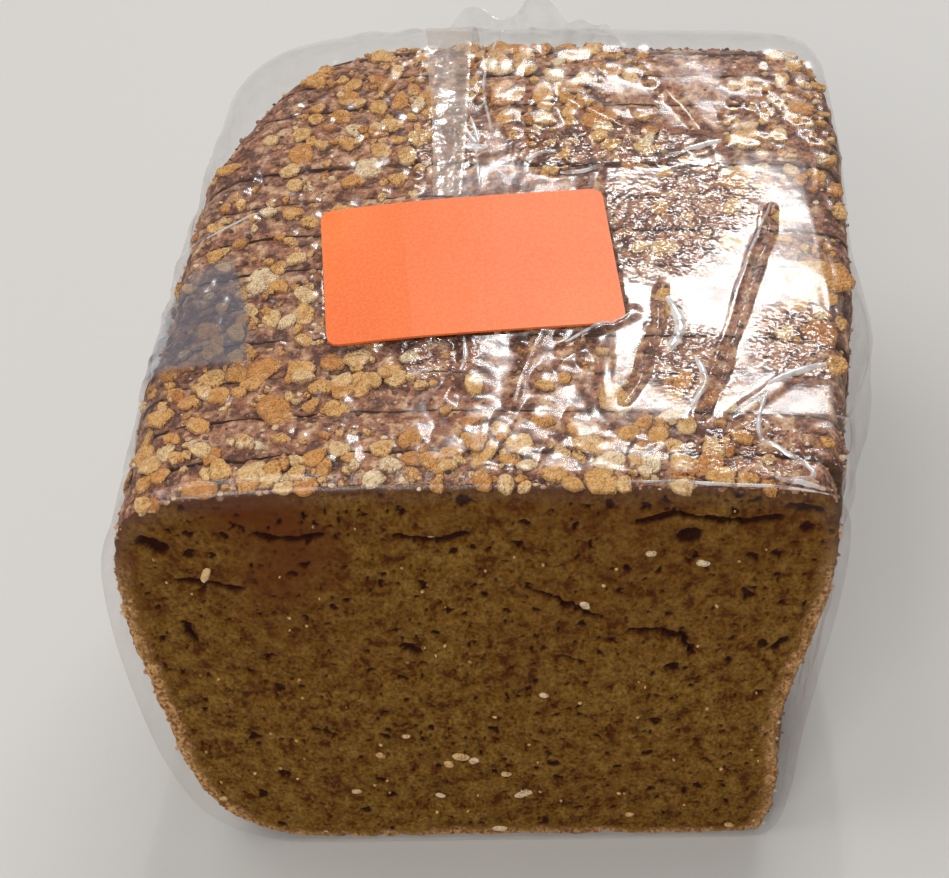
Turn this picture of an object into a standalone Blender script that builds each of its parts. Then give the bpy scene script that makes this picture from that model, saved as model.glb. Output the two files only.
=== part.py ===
# Half a sliced rye loaf in a clear sealed bag, with a blank sticker on top.
# Metres, +Z up. The cut face looks towards -Y. The origin is under the middle of the bounding box.
import math
import random

import bmesh
import bpy
from mathutils import Matrix, Vector
from mathutils.bvhtree import BVHTree

MM = 0.001

# Driving dimensions in millimetres, measured from the cut face (y = 0) backwards
SLICES = 14
SLICE_PITCH = 9.3
BAG_LENGTH = 140.0
CROWN_HEIGHT = 110.3
GROOVE_WIDTH = 1.3
GROOVE_DEPTH = 0.8
SLICE_SHIFT = 0.5
RING_POINTS = 44
CORNER_WEIGHT = 38.0
FRONT_BEVEL = 1.2

# Rounding radii of the back end; the loose film stands out at the top of the left corner
END_LEFT = 48.0
END_LEFT_LOOSE = 35.0
LOOSE_HEIGHTS = (82.0, 104.0)
END_RIGHT = 25.0
END_TOP = 24.0
END_BASE = 9.0

# Front outline of the bag in the XZ plane, joined by a smooth closed curve
FRONT_OUTLINE = [
    (5, 0), (-36, 0), (-50, 2.5), (-60, 12), (-65, 30), (-67, 54), (-67, 78), (-64.5, 96),
    (-58, 105.5), (-44, 109), (-12, 110.3), (27, 108.3), (53, 106.3), (60.5, 103), (62.3, 93),
    (61.6, 76), (59.5, 55), (57.6, 35), (56.4, 16), (53.5, 3), (46, 0),
]
FRONT_LEFT = -67.0
FRONT_RIGHT = 62.3

# Side edges of the bag seen from above, as (y, x) stations
LEFT_EDGE = [(0, -67.0), (30, -66.0), (60, -63.5), (85, -61.0), (110, -58.5), (140, -56.0)]
RIGHT_EDGE = [(0, 62.3), (16, 66.0), (40, 71.5), (62, 70.2), (92, 71.0), (140, 69.0)]

# Oat flakes: groups as (x, y, half width, half depth, count)
FLAKE_GROUPS = [
    (-14, 8, 44, 6.5, 26), (-35, 29, 17, 9, 17), (-22, 98, 14, 19, 22), (-40, 60, 8, 22, 10),
    (15, 112, 20, 10, 16), (23, 91, 14, 10, 12), (56, 94, 10, 20, 15), (58, 50, 5, 16, 8),
    (30, 22, 8, 6, 5), (40, 15, 8, 8, 4), (-52, 78, 7, 26, 8), (-52, 22, 7, 14, 6),
    (2, 28, 20, 6, 6), (42, 64, 8, 28, 6), (40, 118, 16, 8, 5),
]
FLAKE_SIZES = [(4.6, 3.4), (3.9, 2.9), (3.2, 2.5)]
FLAKE_RISE = 1.15
FLAKE_SIDES = 7
FLAKE_SEED = 32

# Sticker
STICKER_WIDTH = 52.8
STICKER_DEPTH = 35.8
STICKER_CORNER = 2.2
STICKER_THICK = 0.45
STICKER_LIFT = 1.0
STICKER_CENTRE = (-2.0, 53.0)
STICKER_TURN = math.radians(6.0)

# Flat seam of the film along the crown, and the gathered end behind it
SEAM_X = (-9.5, -2.5)
SEAM_Y = (72.0, 122.0)
SEAM_RISE = 0.7
TAIL_EDGE = [
    (-30, 78), (-23, 84), (-14, 87), (-5, 97), (3, 95), (10, 100), (17, 94), (24, 91), (32, 83), (38, 75),
]
TAIL_NECK = (4.0, 137.5, 52.0)
TAIL_NECK_WIDTH = 11.0
TAIL_BACK = 150.5
TAIL_PLEAT = 1.5
TAIL_THICK = 1.6


def clear_scene():
    for item in list(bpy.data.objects):
        bpy.data.objects.remove(item, do_unlink=True)


def add_material(name, colour, roughness, coat=0.0):
    mat = bpy.data.materials.new(name)
    mat.use_nodes = True
    shader = mat.node_tree.nodes["Principled BSDF"]
    shader.inputs["Base Color"].default_value = (*colour, 1.0)
    shader.inputs["Roughness"].default_value = roughness
    shader.inputs["Metallic"].default_value = 0.0
    shader.inputs["Coat Weight"].default_value = coat
    return mat


def catmull(a, b, c, d, t):
    # value between b and c on a smooth curve through four values
    t2 = t * t
    t3 = t2 * t
    return 0.5 * (2 * b + (c - a) * t + (2 * a - 5 * b + 4 * c - d) * t2 + (3 * b - a - 3 * c + d) * t3)


def closed_curve(points, count):
    # points along the smooth closed curve through the given ones, closer together where it turns
    dense = []
    n = len(points)
    for i in range(n):
        p = [points[(i + k - 1) % n] for k in range(4)]
        for s in range(24):
            t = s / 24
            x = catmull(p[0][0], p[1][0], p[2][0], p[3][0], t)
            z = catmull(p[0][1], p[1][1], p[2][1], p[3][1], t)
            dense.append(Vector((x, max(z, 0.0))))
    dense.append(dense[0].copy())
    lengths = [0.0]
    before = dense[0] - dense[-2]
    for a, b in zip(dense, dense[1:]):
        step = b - a
        turn = before.angle(step, 0.0)
        lengths.append(lengths[-1] + step.length + CORNER_WEIGHT * turn)
        before = step
    ring = []
    j = 0
    for i in range(count):
        want = lengths[-1] * i / count
        while lengths[j + 1] < want:
            j += 1
        t = (want - lengths[j]) / (lengths[j + 1] - lengths[j])
        p = dense[j].lerp(dense[j + 1], t)
        if p.y < 0.35:
            p.y = 0.0
        ring.append(p)
    return ring


def along(edge, y):
    # smooth value at y between (y, value) pairs
    for (y0, v0), (y1, v1) in zip(edge, edge[1:]):
        if y <= y1:
            t = max((y - y0) / (y1 - y0), 0.0)
            t = t * t * (3 - 2 * t)
            return v0 + (v1 - v0) * t
    return edge[-1][1]


def round_in(radius, y):
    # how far an edge with this rounding radius has turned in at y
    d = y - (BAG_LENGTH - radius)
    if d <= 0:
        return 0.0
    return radius - math.sqrt(max(radius * radius - d * d, 0.0))


def left_radius(height):
    # rounding of the back left corner at this height of the outline
    low, high = LOOSE_HEIGHTS
    t = min(max((height - low) / (high - low), 0.0), 1.0)
    return END_LEFT + (END_LEFT_LOOSE - END_LEFT) * t * t * (3 - 2 * t)


def section(ring, y, inset, shift, lift):
    # outline of the bag at distance y
    right = along(RIGHT_EDGE, y) - round_in(END_RIGHT, y)
    top = CROWN_HEIGHT - round_in(END_TOP, y)
    base = round_in(END_BASE, y)
    points = []
    for p in ring:
        left = along(LEFT_EDGE, y) + round_in(left_radius(p.y), y)
        x = p.x * left / FRONT_LEFT if p.x < 0 else p.x * right / FRONT_RIGHT
        z = base + p.y * (top - base) / CROWN_HEIGHT
        high = min(max((p.y - 12.0) / 70.0, 0.0), 1.0)
        x += shift * high
        z += lift * high
        x -= inset * high * max(min(x / 50.0, 1.0), -1.0)
        z -= inset * high
        points.append(Vector((x, y, z)))
    return points


def loft_rows(smooth):
    # every station of the loft as (y, inset, shift, lift)
    if smooth:
        return [(y, 0.0, 0.0, 0.0) for y in range(0, int(BAG_LENGTH) + 1, 4)]
    rng = random.Random(7)
    slabs = [(rng.uniform(-1, 1) * SLICE_SHIFT, rng.uniform(-1, 0.6) * SLICE_SHIFT) for _ in range(SLICES)]
    rows = [(0.0, FRONT_BEVEL, 0.0, 0.0), (0.35, FRONT_BEVEL * 0.45, 0.0, 0.0)]
    half = GROOVE_WIDTH / 2
    for k, (shift, lift) in enumerate(slabs[:-1]):
        start = k * SLICE_PITCH
        stop = start + SLICE_PITCH
        following = slabs[k + 1]
        rows.append((start + (half if k else FRONT_BEVEL), 0.0, shift, lift))
        rows.append((stop - half, 0.0, shift, lift))
        rows.append((stop, GROOVE_DEPTH, (shift + following[0]) / 2, (lift + following[1]) / 2))
    last = rows[-1][0]
    for part in (0.1, 0.35, 0.6, 0.8, 0.93, 1.0):
        rows.append((last + (BAG_LENGTH - last) * part, 0.0, 0.0, 0.0))
    return rows


def loft_body(smooth=False):
    # the wrapped loaf: the front outline extruded back from station to station
    bm = bmesh.new()
    ring = closed_curve(FRONT_OUTLINE, RING_POINTS)
    rows = loft_rows(smooth)
    bmesh.ops.create_circle(bm, cap_ends=True, segments=RING_POINTS, radius=50.0)
    bm.faces.ensure_lookup_table()
    cap = bm.faces[0]
    order = {}
    for i, (vert, place) in enumerate(zip(cap.verts, section(ring, *rows[0]))):
        vert.co = place
        order[vert.co.to_tuple(5)] = i
    front = cap
    for row in rows[1:]:
        old = cap
        grown = bmesh.ops.extrude_face_region(bm, geom=[old])["geom"]
        cap = [g for g in grown if isinstance(g, bmesh.types.BMFace)][0]
        if old != front:
            bmesh.ops.delete(bm, geom=[old], context="FACES_ONLY")
        places = section(ring, *row)
        moved = {}
        for vert in cap.verts:
            i = order[vert.co.to_tuple(5)]
            vert.co = places[i]
            moved[vert.co.to_tuple(5)] = i
        order = moved
    bmesh.ops.triangulate(bm, faces=[f for f in bm.faces if len(f.verts) > 4])
    bmesh.ops.recalc_face_normals(bm, faces=bm.faces)
    return bm


def drop_on(tree, x, y):
    # point and normal of the surface straight below (x, y)
    spot, normal, _face, _distance = tree.ray_cast(Vector((x, y, 200.0)), Vector((0, 0, -1)))
    return spot, normal


def sticker_place(u, v):
    # plan position of a sticker point, from its own centre
    c = math.cos(STICKER_TURN)
    s = math.sin(STICKER_TURN)
    return STICKER_CENTRE[0] + u * c - v * s, STICKER_CENTRE[1] + u * s + v * c


def near_sticker(x, y, margin):
    c = math.cos(STICKER_TURN)
    s = math.sin(STICKER_TURN)
    dx = x - STICKER_CENTRE[0]
    dy = y - STICKER_CENTRE[1]
    u = dx * c + dy * s
    v = dy * c - dx * s
    return abs(u) < STICKER_WIDTH / 2 + margin and abs(v) < STICKER_DEPTH / 2 + margin


def on_seam(x, y, margin):
    inside_x = SEAM_X[0] - margin < x < SEAM_X[1] + margin
    return inside_x and SEAM_Y[0] - margin < y < SEAM_Y[1] + margin


def flake_places(tree):
    # seeded places for the flakes, group by group, with none crowding another
    rng = random.Random(FLAKE_SEED)
    placed = []
    for gx, gy, half_w, half_d, count in FLAKE_GROUPS:
        done = 0
        for _ in range(count * 40):
            if done == count:
                break
            x = gx + rng.uniform(-1, 1) * half_w
            y = gy + rng.uniform(-1, 1) * half_d
            a, b = FLAKE_SIZES[min(done * len(FLAKE_SIZES) // count, 2)]
            if near_sticker(x, y, a + 1.0) or on_seam(x, y, a + 0.6) or y < a + 0.8:
                continue
            if any((x - p[0]) ** 2 + (y - p[1]) ** 2 < (a + p[2]) ** 2 for p in placed):
                continue
            spot, normal = drop_on(tree, x, y)
            if spot is None or normal.z < 0.35 or spot.y > BAG_LENGTH - 6.0:
                continue
            placed.append((x, y, a, b, spot, normal, rng.uniform(0, math.pi), rng.random()))
            done += 1
    return placed


def to_object(bm, name, collection):
    bmesh.ops.recalc_face_normals(bm, faces=bm.faces)
    mesh = bpy.data.meshes.new(name)
    bm.to_mesh(mesh)
    bm.free()
    item = bpy.data.objects.new(name, mesh)
    collection.objects.link(item)
    return item


def add_flake(place, index, collection):
    # one oat flake: a low tapered disc, half sunk into the crust
    _x, _y, a, b, spot, normal, turn, chance = place
    rng = random.Random(900 + index)
    bm = bmesh.new()
    bmesh.ops.create_cone(bm, cap_ends=True, segments=FLAKE_SIDES, radius1=1.0, radius2=0.66, depth=2.0)
    for vert in bm.verts:
        wobble = 1 + rng.uniform(-0.13, 0.13)
        rise = FLAKE_RISE * (0.8 + 0.4 * chance) + rng.uniform(-0.15, 0.15)
        vert.co.x *= a * wobble
        vert.co.y *= b * wobble
        vert.co.z = rise if vert.co.z > 0 else -1.5
    stand = normal.to_track_quat("Z", "Y").to_matrix() @ Matrix.Rotation(turn, 3, "Z")
    bmesh.ops.transform(bm, verts=bm.verts, matrix=Matrix.Translation(spot) @ stand.to_4x4())
    bmesh.ops.triangulate(bm, faces=bm.faces)
    return to_object(bm, f"flake{index}", collection)


def thicken(bm, depth):
    # give a sheet a body by extruding it along the given vector
    grown = bmesh.ops.extrude_face_region(bm, geom=bm.faces[:])["geom"]
    for vert in [g for g in grown if isinstance(g, bmesh.types.BMVert)]:
        vert.co += Vector(depth)
    bmesh.ops.triangulate(bm, faces=bm.faces)


def add_seam(tree, collection):
    # the flat seam of the film, a thin raised band that follows the crown
    bm = bmesh.new()
    bmesh.ops.create_grid(bm, x_segments=1, y_segments=9, size=1.0)
    for vert in bm.verts:
        x = SEAM_X[0] + (vert.co.x + 1) / 2 * (SEAM_X[1] - SEAM_X[0])
        y = SEAM_Y[0] + (vert.co.y + 1) / 2 * (SEAM_Y[1] - SEAM_Y[0])
        vert.co = drop_on(tree, x, y)[0] + Vector((0, 0, SEAM_RISE))
    thicken(bm, (0, 0, -SEAM_RISE - 1.6))
    return to_object(bm, "seam", collection)


def add_tail(collection):
    # the gathered end of the film: a pleated fan that stands up behind the heel
    bm = bmesh.new()
    bmesh.ops.create_grid(bm, x_segments=len(TAIL_EDGE) - 1, y_segments=3, size=1.0)
    for vert in bm.verts:
        i = round((vert.co.x + 1) / 2 * (len(TAIL_EDGE) - 1))
        t = (vert.co.y + 1) / 2
        x, z = TAIL_EDGE[i]
        neck_x = TAIL_NECK[0] + (i / (len(TAIL_EDGE) - 1) - 0.5) * TAIL_NECK_WIDTH
        pleat = TAIL_PLEAT if i % 2 else -TAIL_PLEAT
        back = TAIL_NECK[1] + (TAIL_BACK - TAIL_NECK[1]) * math.sin(t * math.pi / 2)
        vert.co = Vector((neck_x + (x - neck_x) * t, back + pleat * t, TAIL_NECK[2] + (z - TAIL_NECK[2]) * t))
    thicken(bm, (0, -TAIL_THICK, 0))
    return to_object(bm, "tail", collection)


def join_union(body, collection):
    # unite the body with everything in the collection and drop the pieces
    join = body.modifiers.new("join", "BOOLEAN")
    join.operation = "UNION"
    join.operand_type = "COLLECTION"
    join.collection = collection
    join.solver = "EXACT"
    bpy.context.view_layer.objects.active = body
    bpy.ops.object.modifier_apply(modifier="join")
    for item in list(collection.objects):
        bpy.data.objects.remove(item, do_unlink=True)
    bpy.data.collections.remove(collection)


def keep_largest(mesh):
    # drop loose scraps and sealed hollows, so that one closed body stays
    bm = bmesh.new()
    bm.from_mesh(mesh)
    bmesh.ops.remove_doubles(bm, verts=bm.verts, dist=0.02)
    bmesh.ops.dissolve_degenerate(bm, edges=bm.edges, dist=0.01)
    seen = set()
    shells = []
    for face in bm.faces:
        if face in seen:
            continue
        shell = [face]
        seen.add(face)
        for item in shell:
            for edge in item.edges:
                for other in edge.link_faces:
                    if other not in seen:
                        seen.add(other)
                        shell.append(other)
        shells.append(shell)
    shells.sort(key=len)
    for shell in shells[:-1]:
        bmesh.ops.delete(bm, geom=shell, context="FACES")
    bmesh.ops.triangulate(bm, faces=bm.faces)
    bm.to_mesh(mesh)
    bm.free()


def make_bag(tree):
    pieces = bpy.data.collections.new("pieces")
    bpy.context.scene.collection.children.link(pieces)
    body = to_object(loft_body(), "bag", bpy.context.scene.collection)
    for index, place in enumerate(flake_places(tree)):
        add_flake(place, index, pieces)
    add_seam(tree, pieces)
    add_tail(pieces)
    join_union(body, pieces)
    keep_largest(body.data)
    body.data.materials.clear()
    body.data.materials.append(add_material("film_over_crust", (0.30, 0.17, 0.085), 0.32, 0.5))
    return body


def sticker_outline():
    # corners of the flat sticker, each rounded by four points
    outline = []
    for sx, sy, start in ((1, 1, 0), (-1, 1, 90), (-1, -1, 180), (1, -1, 270)):
        cx = sx * (STICKER_WIDTH / 2 - STICKER_CORNER)
        cy = sy * (STICKER_DEPTH / 2 - STICKER_CORNER)
        for step in range(4):
            angle = math.radians(start + step * 30)
            outline.append((cx + STICKER_CORNER * math.cos(angle), cy + STICKER_CORNER * math.sin(angle)))
    return outline


def make_sticker(tree):
    # a thin rectangle with rounded corners, bent over the crown
    bm = bmesh.new()
    bm.faces.new([bm.verts.new((u, v, 0.0)) for u, v in sticker_outline()])
    for i in range(-4, 5):
        sheet = bm.verts[:] + bm.edges[:] + bm.faces[:]
        bmesh.ops.bisect_plane(bm, geom=sheet, plane_co=(i * 5.6, 0, 0), plane_no=(1, 0, 0))
    for i in range(-2, 3):
        sheet = bm.verts[:] + bm.edges[:] + bm.faces[:]
        bmesh.ops.bisect_plane(bm, geom=sheet, plane_co=(0, i * 6.4, 0), plane_no=(0, 1, 0))
    for vert in bm.verts:
        x, y = sticker_place(vert.co.x, vert.co.y)
        vert.co = drop_on(tree, x, y)[0] + Vector((0, 0, STICKER_LIFT))
    thicken(bm, (0, 0, STICKER_THICK))
    sticker = to_object(bm, "label", bpy.context.scene.collection)
    sticker.data.materials.append(add_material("orange_paper", (0.92, 0.27, 0.10), 0.42))
    return sticker


def settle(parts):
    # scale to metres and move the origin under the middle of the bounding box
    corners = [v.co for part in parts for v in part.data.vertices]
    low = Vector([min(c[i] for c in corners) for i in range(3)])
    high = Vector([max(c[i] for c in corners) for i in range(3)])
    shift = Vector(((low.x + high.x) / 2, (low.y + high.y) / 2, low.z))
    for part in parts:
        for vert in part.data.vertices:
            vert.co = (vert.co - shift) * MM
        part.data.update()
    print("size mm", [round(v, 2) for v in high - low], "shift mm", [round(v, 3) for v in shift])


def main():
    clear_scene()
    plain = loft_body(smooth=True)
    tree = BVHTree.FromBMesh(plain)
    bag = make_bag(tree)
    sticker = make_sticker(tree)
    plain.free()
    settle([bag, sticker])
    for part in (bag, sticker):
        print(part.name, len(part.data.polygons), "faces")


main()
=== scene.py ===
import math
import random

import bpy
from mathutils import Matrix, Vector, noise
from mathutils.bvhtree import BVHTree
from mathutils.kdtree import KDTree


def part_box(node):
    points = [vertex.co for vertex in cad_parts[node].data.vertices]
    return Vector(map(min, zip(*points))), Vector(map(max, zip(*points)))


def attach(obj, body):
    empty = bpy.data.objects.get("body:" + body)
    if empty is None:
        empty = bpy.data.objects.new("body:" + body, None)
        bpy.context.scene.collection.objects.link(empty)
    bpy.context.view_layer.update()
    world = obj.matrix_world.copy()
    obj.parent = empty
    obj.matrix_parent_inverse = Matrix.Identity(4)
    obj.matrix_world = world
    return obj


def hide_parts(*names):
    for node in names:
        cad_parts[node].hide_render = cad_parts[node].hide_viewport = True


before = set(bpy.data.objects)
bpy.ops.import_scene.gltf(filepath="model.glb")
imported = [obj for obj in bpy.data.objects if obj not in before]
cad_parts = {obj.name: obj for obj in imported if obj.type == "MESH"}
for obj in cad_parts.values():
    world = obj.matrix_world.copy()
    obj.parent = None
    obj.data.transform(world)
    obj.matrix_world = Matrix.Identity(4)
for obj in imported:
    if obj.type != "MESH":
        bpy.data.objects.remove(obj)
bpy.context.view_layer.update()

# Shapes below are worked out in millimetres from the cut face, then put in the frame in metres.
middle = {"x": 2.002, "y": 76.0}


def toFrame(x, y, z):
    return Vector(((x - middle["x"]) * 0.001, (y - middle["y"]) * 0.001, z * 0.001))


def fromFrame(p):
    return Vector((p.x * 1000 + middle["x"], p.y * 1000 + middle["y"], p.z * 1000))


def clamp(value, low=0.0, high=1.0):
    return min(max(value, low), high)


def ease(t):
    t = clamp(t)
    return t * t * (3 - 2 * t)


# outlines of the film and of the loaf in it, seen from the front, with their side edges seen from above
filmShape = {
    "outline": [
        (5, 0), (-36, 0), (-50, 2.5), (-60, 12), (-65, 30), (-67, 54), (-67, 78), (-64.5, 96),
        (-58, 105.5), (-44, 109), (-12, 110.3), (27, 108.3), (53, 106.3), (60.5, 103), (62.3, 93),
        (61.6, 76), (59.5, 55), (57.6, 35), (56.4, 16), (53.5, 3), (46, 0),
    ],
    "left": [(0, -67.0), (30, -66.0), (60, -63.5), (85, -61.0), (110, -58.5), (140, -56.0)],
    "right": [(0, 62.3), (16, 66.0), (40, 71.5), (62, 70.2), (92, 71.0), (140, 69.0)],
    "length": 140.0,
    "top": 110.3,
    "ends": {"left": 48.0, "leftLoose": 35.0, "right": 25.0, "top": 24.0, "base": 9.0},
}
loafShape = {
    "outline": [
        (5, 0.5), (-34, 0.5), (-45, 2.2), (-53, 7), (-59, 16), (-62, 31), (-63.8, 54), (-65.0, 77),
        (-62.6, 96), (-56.8, 104.6), (-43.5, 108.0), (-12, 109.5), (27, 107.5), (53, 105.6), (59.5, 102.4),
        (60.8, 92), (59.9, 75), (57.2, 60), (54.6, 47), (53.4, 34), (54.2, 18), (52.4, 5), (46, 0.7),
    ],
    "left": [(0, -65.0), (30, -64.2), (60, -61.6), (85, -59.0), (110, -56.5), (134.6, -54.5)],
    "right": [(0, 60.8), (16, 62.6), (40, 66.0), (62, 68.6), (92, 70.0), (134.6, 67.5)],
    "length": 134.6,
    "top": 109.5,
    "ends": {"left": 46.0, "leftLoose": 50.0, "right": 25.0, "top": 22.0, "base": 9.0},
}


def catmull(a, b, c, d, t):
    t2 = t * t
    t3 = t2 * t
    return 0.5 * (2 * b + (c - a) * t + (2 * a - 5 * b + 4 * c - d) * t2 + (3 * b - a - 3 * c + d) * t3)


def smoothOutline(points, count, topShare=1.0):
    # even points along the smooth outline, topShare times closer together over the crown
    dense = []
    for i in range(len(points)):
        p = [points[(i + k - 1) % len(points)] for k in range(4)]
        for s in range(30):
            t = s / 30
            x = catmull(p[0][0], p[1][0], p[2][0], p[3][0], t)
            z = catmull(p[0][1], p[1][1], p[2][1], p[3][1], t)
            dense.append(Vector((x, max(z, 0.0))))
    dense.append(dense[0].copy())
    far = [0.0]
    for a, b in zip(dense, dense[1:]):
        far.append(far[-1] + (b - a).length * (topShare if min(a.y, b.y) > 99 else 1.0))
    ring = []
    j = 0
    for i in range(count):
        want = far[-1] * i / count
        while far[j + 1] < want:
            j += 1
        ring.append(dense[j].lerp(dense[j + 1], (want - far[j]) / (far[j + 1] - far[j])))
    return ring


def along(edge, y):
    for (y0, v0), (y1, v1) in zip(edge, edge[1:]):
        if y <= y1:
            return v0 + (v1 - v0) * ease((y - y0) / (y1 - y0))
    return edge[-1][1]


def roundIn(radius, y, length):
    d = y - (length - radius)
    return 0.0 if d <= 0 else radius - math.sqrt(max(radius * radius - d * d, 0.0))


def sectionPoint(shape, p, y):
    # one outline point of the loaf or the film at distance y from the cut face
    ends = shape["ends"]
    length = shape["length"]
    leftTurn = ends["left"] + (ends["leftLoose"] - ends["left"]) * ease((p.y - 82) / 22)
    left = along(shape["left"], y) + roundIn(leftTurn, y, length)
    right = along(shape["right"], y) - roundIn(ends["right"], y, length)
    top = shape["top"] - roundIn(ends["top"], y, length)
    base = roundIn(ends["base"], y, length)
    x = p.x * left / shape["left"][0][1] if p.x < 0 else p.x * right / shape["right"][0][1]
    return Vector((x, y, base + p.y * (top - base) / shape["top"]))


def deselect():
    if bpy.context.mode != "OBJECT":
        bpy.ops.object.mode_set(mode="OBJECT")
    bpy.ops.object.select_all(action="DESELECT")


def activate(piece):
    deselect()
    piece.select_set(True)
    bpy.context.view_layer.objects.active = piece


def editAll(piece):
    activate(piece)
    bpy.ops.object.mode_set(mode="EDIT")
    bpy.ops.mesh.select_all(action="SELECT")


def shapedGrid(name, across, along, place):
    # a grid primitive whose points are moved to place(i, j)
    deselect()
    bpy.ops.mesh.primitive_grid_add(x_subdivisions=across, y_subdivisions=along, size=2)
    piece = bpy.context.object
    piece.name = name
    piece.data.name = name
    for vert in piece.data.vertices:
        i = round((vert.co.x + 1) / 2 * across)
        j = round((vert.co.y + 1) / 2 * along)
        vert.co = place(i, j)
    return piece


def mergeAndFace(piece, gap=0.00002):
    # close the seams and turn every face outwards
    editAll(piece)
    bpy.ops.mesh.remove_doubles(threshold=gap)
    bpy.ops.mesh.select_all(action="SELECT")
    bpy.ops.mesh.normals_make_consistent(inside=False)
    bpy.ops.object.mode_set(mode="OBJECT")


def joinAll(name, parts):
    deselect()
    for part in parts:
        part.select_set(True)
    bpy.context.view_layer.objects.active = parts[0]
    bpy.ops.object.join()
    piece = bpy.context.object
    piece.name = name
    piece.data.name = name
    return piece


def smooth(piece, degrees=60):
    activate(piece)
    bpy.ops.object.shade_smooth_by_angle(angle=math.radians(degrees))


def newAttribute(piece, name, values):
    layer = piece.data.attributes.new(name, "FLOAT", "POINT")
    layer.data.foreach_set("value", values)


def evenAttribute(piece, name, value):
    newAttribute(piece, name, [value] * len(piece.data.vertices))


def dress(piece, *materials):
    for material in materials:
        piece.data.materials.append(material)


def keepInside(piece):
    # nothing stands out of the wrapped loaf's box
    low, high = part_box("bag")
    for vert in piece.data.vertices:
        vert.co = Vector([clamp(vert.co[a], low[a], high[a]) for a in range(3)])


def copyForm(form, place):
    # one more of a modelled shape, with its own mesh, put in its place
    copy = bpy.data.objects.new("copy", form.data.copy())
    bpy.context.scene.collection.objects.link(copy)
    copy.data.transform(place)
    return copy


def removeForms(forms):
    for form in forms:
        bpy.data.objects.remove(form, do_unlink=True)


def finishThinFilm(piece, material, thickness, offset, hazeAndSheen, crackle):
    # give a sheet of film its thickness, its looks and its place in the box
    evenAttribute(piece, "hazeAndSheen", hazeAndSheen)
    evenAttribute(piece, "crackle", crackle)
    activate(piece)
    wall = piece.modifiers.new("thickness", "SOLIDIFY")
    wall.thickness = thickness
    wall.offset = offset
    bpy.ops.object.modifier_apply(modifier="thickness")
    dress(piece, material)
    smooth(piece, 60)
    keepInside(piece)
    return piece


def newMaterial(name):
    material = bpy.data.materials.new(name)
    material.use_nodes = True
    tree = material.node_tree
    shader = tree.nodes["Principled BSDF"]
    return material, tree, shader


def addNode(tree, kind, **values):
    node = tree.nodes.new(kind)
    for key, value in values.items():
        if key in node.inputs:
            node.inputs[key].default_value = value
        else:
            setattr(node, key, value)
    return node


def setFinish(shader, roughness, specular):
    shader.inputs["Roughness"].default_value = roughness
    shader.inputs["Specular IOR Level"].default_value = specular


def noiseNode(tree, coords, scale, detail=4.0, roughness=0.55):
    node = addNode(tree, "ShaderNodeTexNoise", Scale=scale, Detail=detail, Roughness=roughness)
    tree.links.new(coords, node.inputs["Vector"])
    return node.outputs["Fac"]


def voronoiNode(tree, coords, scale, feature="F1"):
    node = addNode(tree, "ShaderNodeTexVoronoi")
    node.feature = feature
    node.inputs["Scale"].default_value = scale
    tree.links.new(coords, node.inputs["Vector"])
    return node.outputs["Distance"]


def ramp(tree, source, stops):
    node = addNode(tree, "ShaderNodeValToRGB")
    bar = node.color_ramp
    while len(bar.elements) < len(stops):
        bar.elements.new(0.5)
    for element, (place, colour) in zip(bar.elements, stops):
        element.position = place
        element.color = (*colour, 1.0) if len(colour) == 3 else colour
    tree.links.new(source, node.inputs["Fac"])
    return node.outputs["Color"]


def span(tree, source, low, high, first=0.0, last=1.0):
    node = addNode(tree, "ShaderNodeMapRange")
    node.inputs["From Min"].default_value = low
    node.inputs["From Max"].default_value = high
    node.inputs["To Min"].default_value = first
    node.inputs["To Max"].default_value = last
    tree.links.new(source, node.inputs["Value"])
    return node.outputs["Result"]


def blendColour(tree, share, first, second, way="MIX"):
    node = addNode(tree, "ShaderNodeMix")
    node.data_type = "RGBA"
    node.blend_type = way
    for socket, value in ((node.inputs[0], share), (node.inputs[6], first), (node.inputs[7], second)):
        if isinstance(value, (int, float)):
            socket.default_value = value
        elif isinstance(value, tuple):
            socket.default_value = (*value, 1.0)
        else:
            tree.links.new(value, socket)
    return node.outputs[2]


def sumOf(tree, first, second, way="ADD"):
    node = addNode(tree, "ShaderNodeMath")
    node.operation = way
    for socket, value in ((node.inputs[0], first), (node.inputs[1], second)):
        if isinstance(value, (int, float)):
            socket.default_value = value
        else:
            tree.links.new(value, socket)
    return node.outputs[0]


def bump(tree, shader, height, strength, distance):
    node = addNode(tree, "ShaderNodeBump", Strength=strength, Distance=distance)
    tree.links.new(height, node.inputs["Height"])
    tree.links.new(node.outputs["Normal"], shader.inputs["Normal"])


def objectCoords(tree):
    return addNode(tree, "ShaderNodeTexCoord").outputs["Object"]


def attributeValue(tree, name):
    node = addNode(tree, "ShaderNodeAttribute")
    node.attribute_name = name
    return node.outputs["Fac"]


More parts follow.
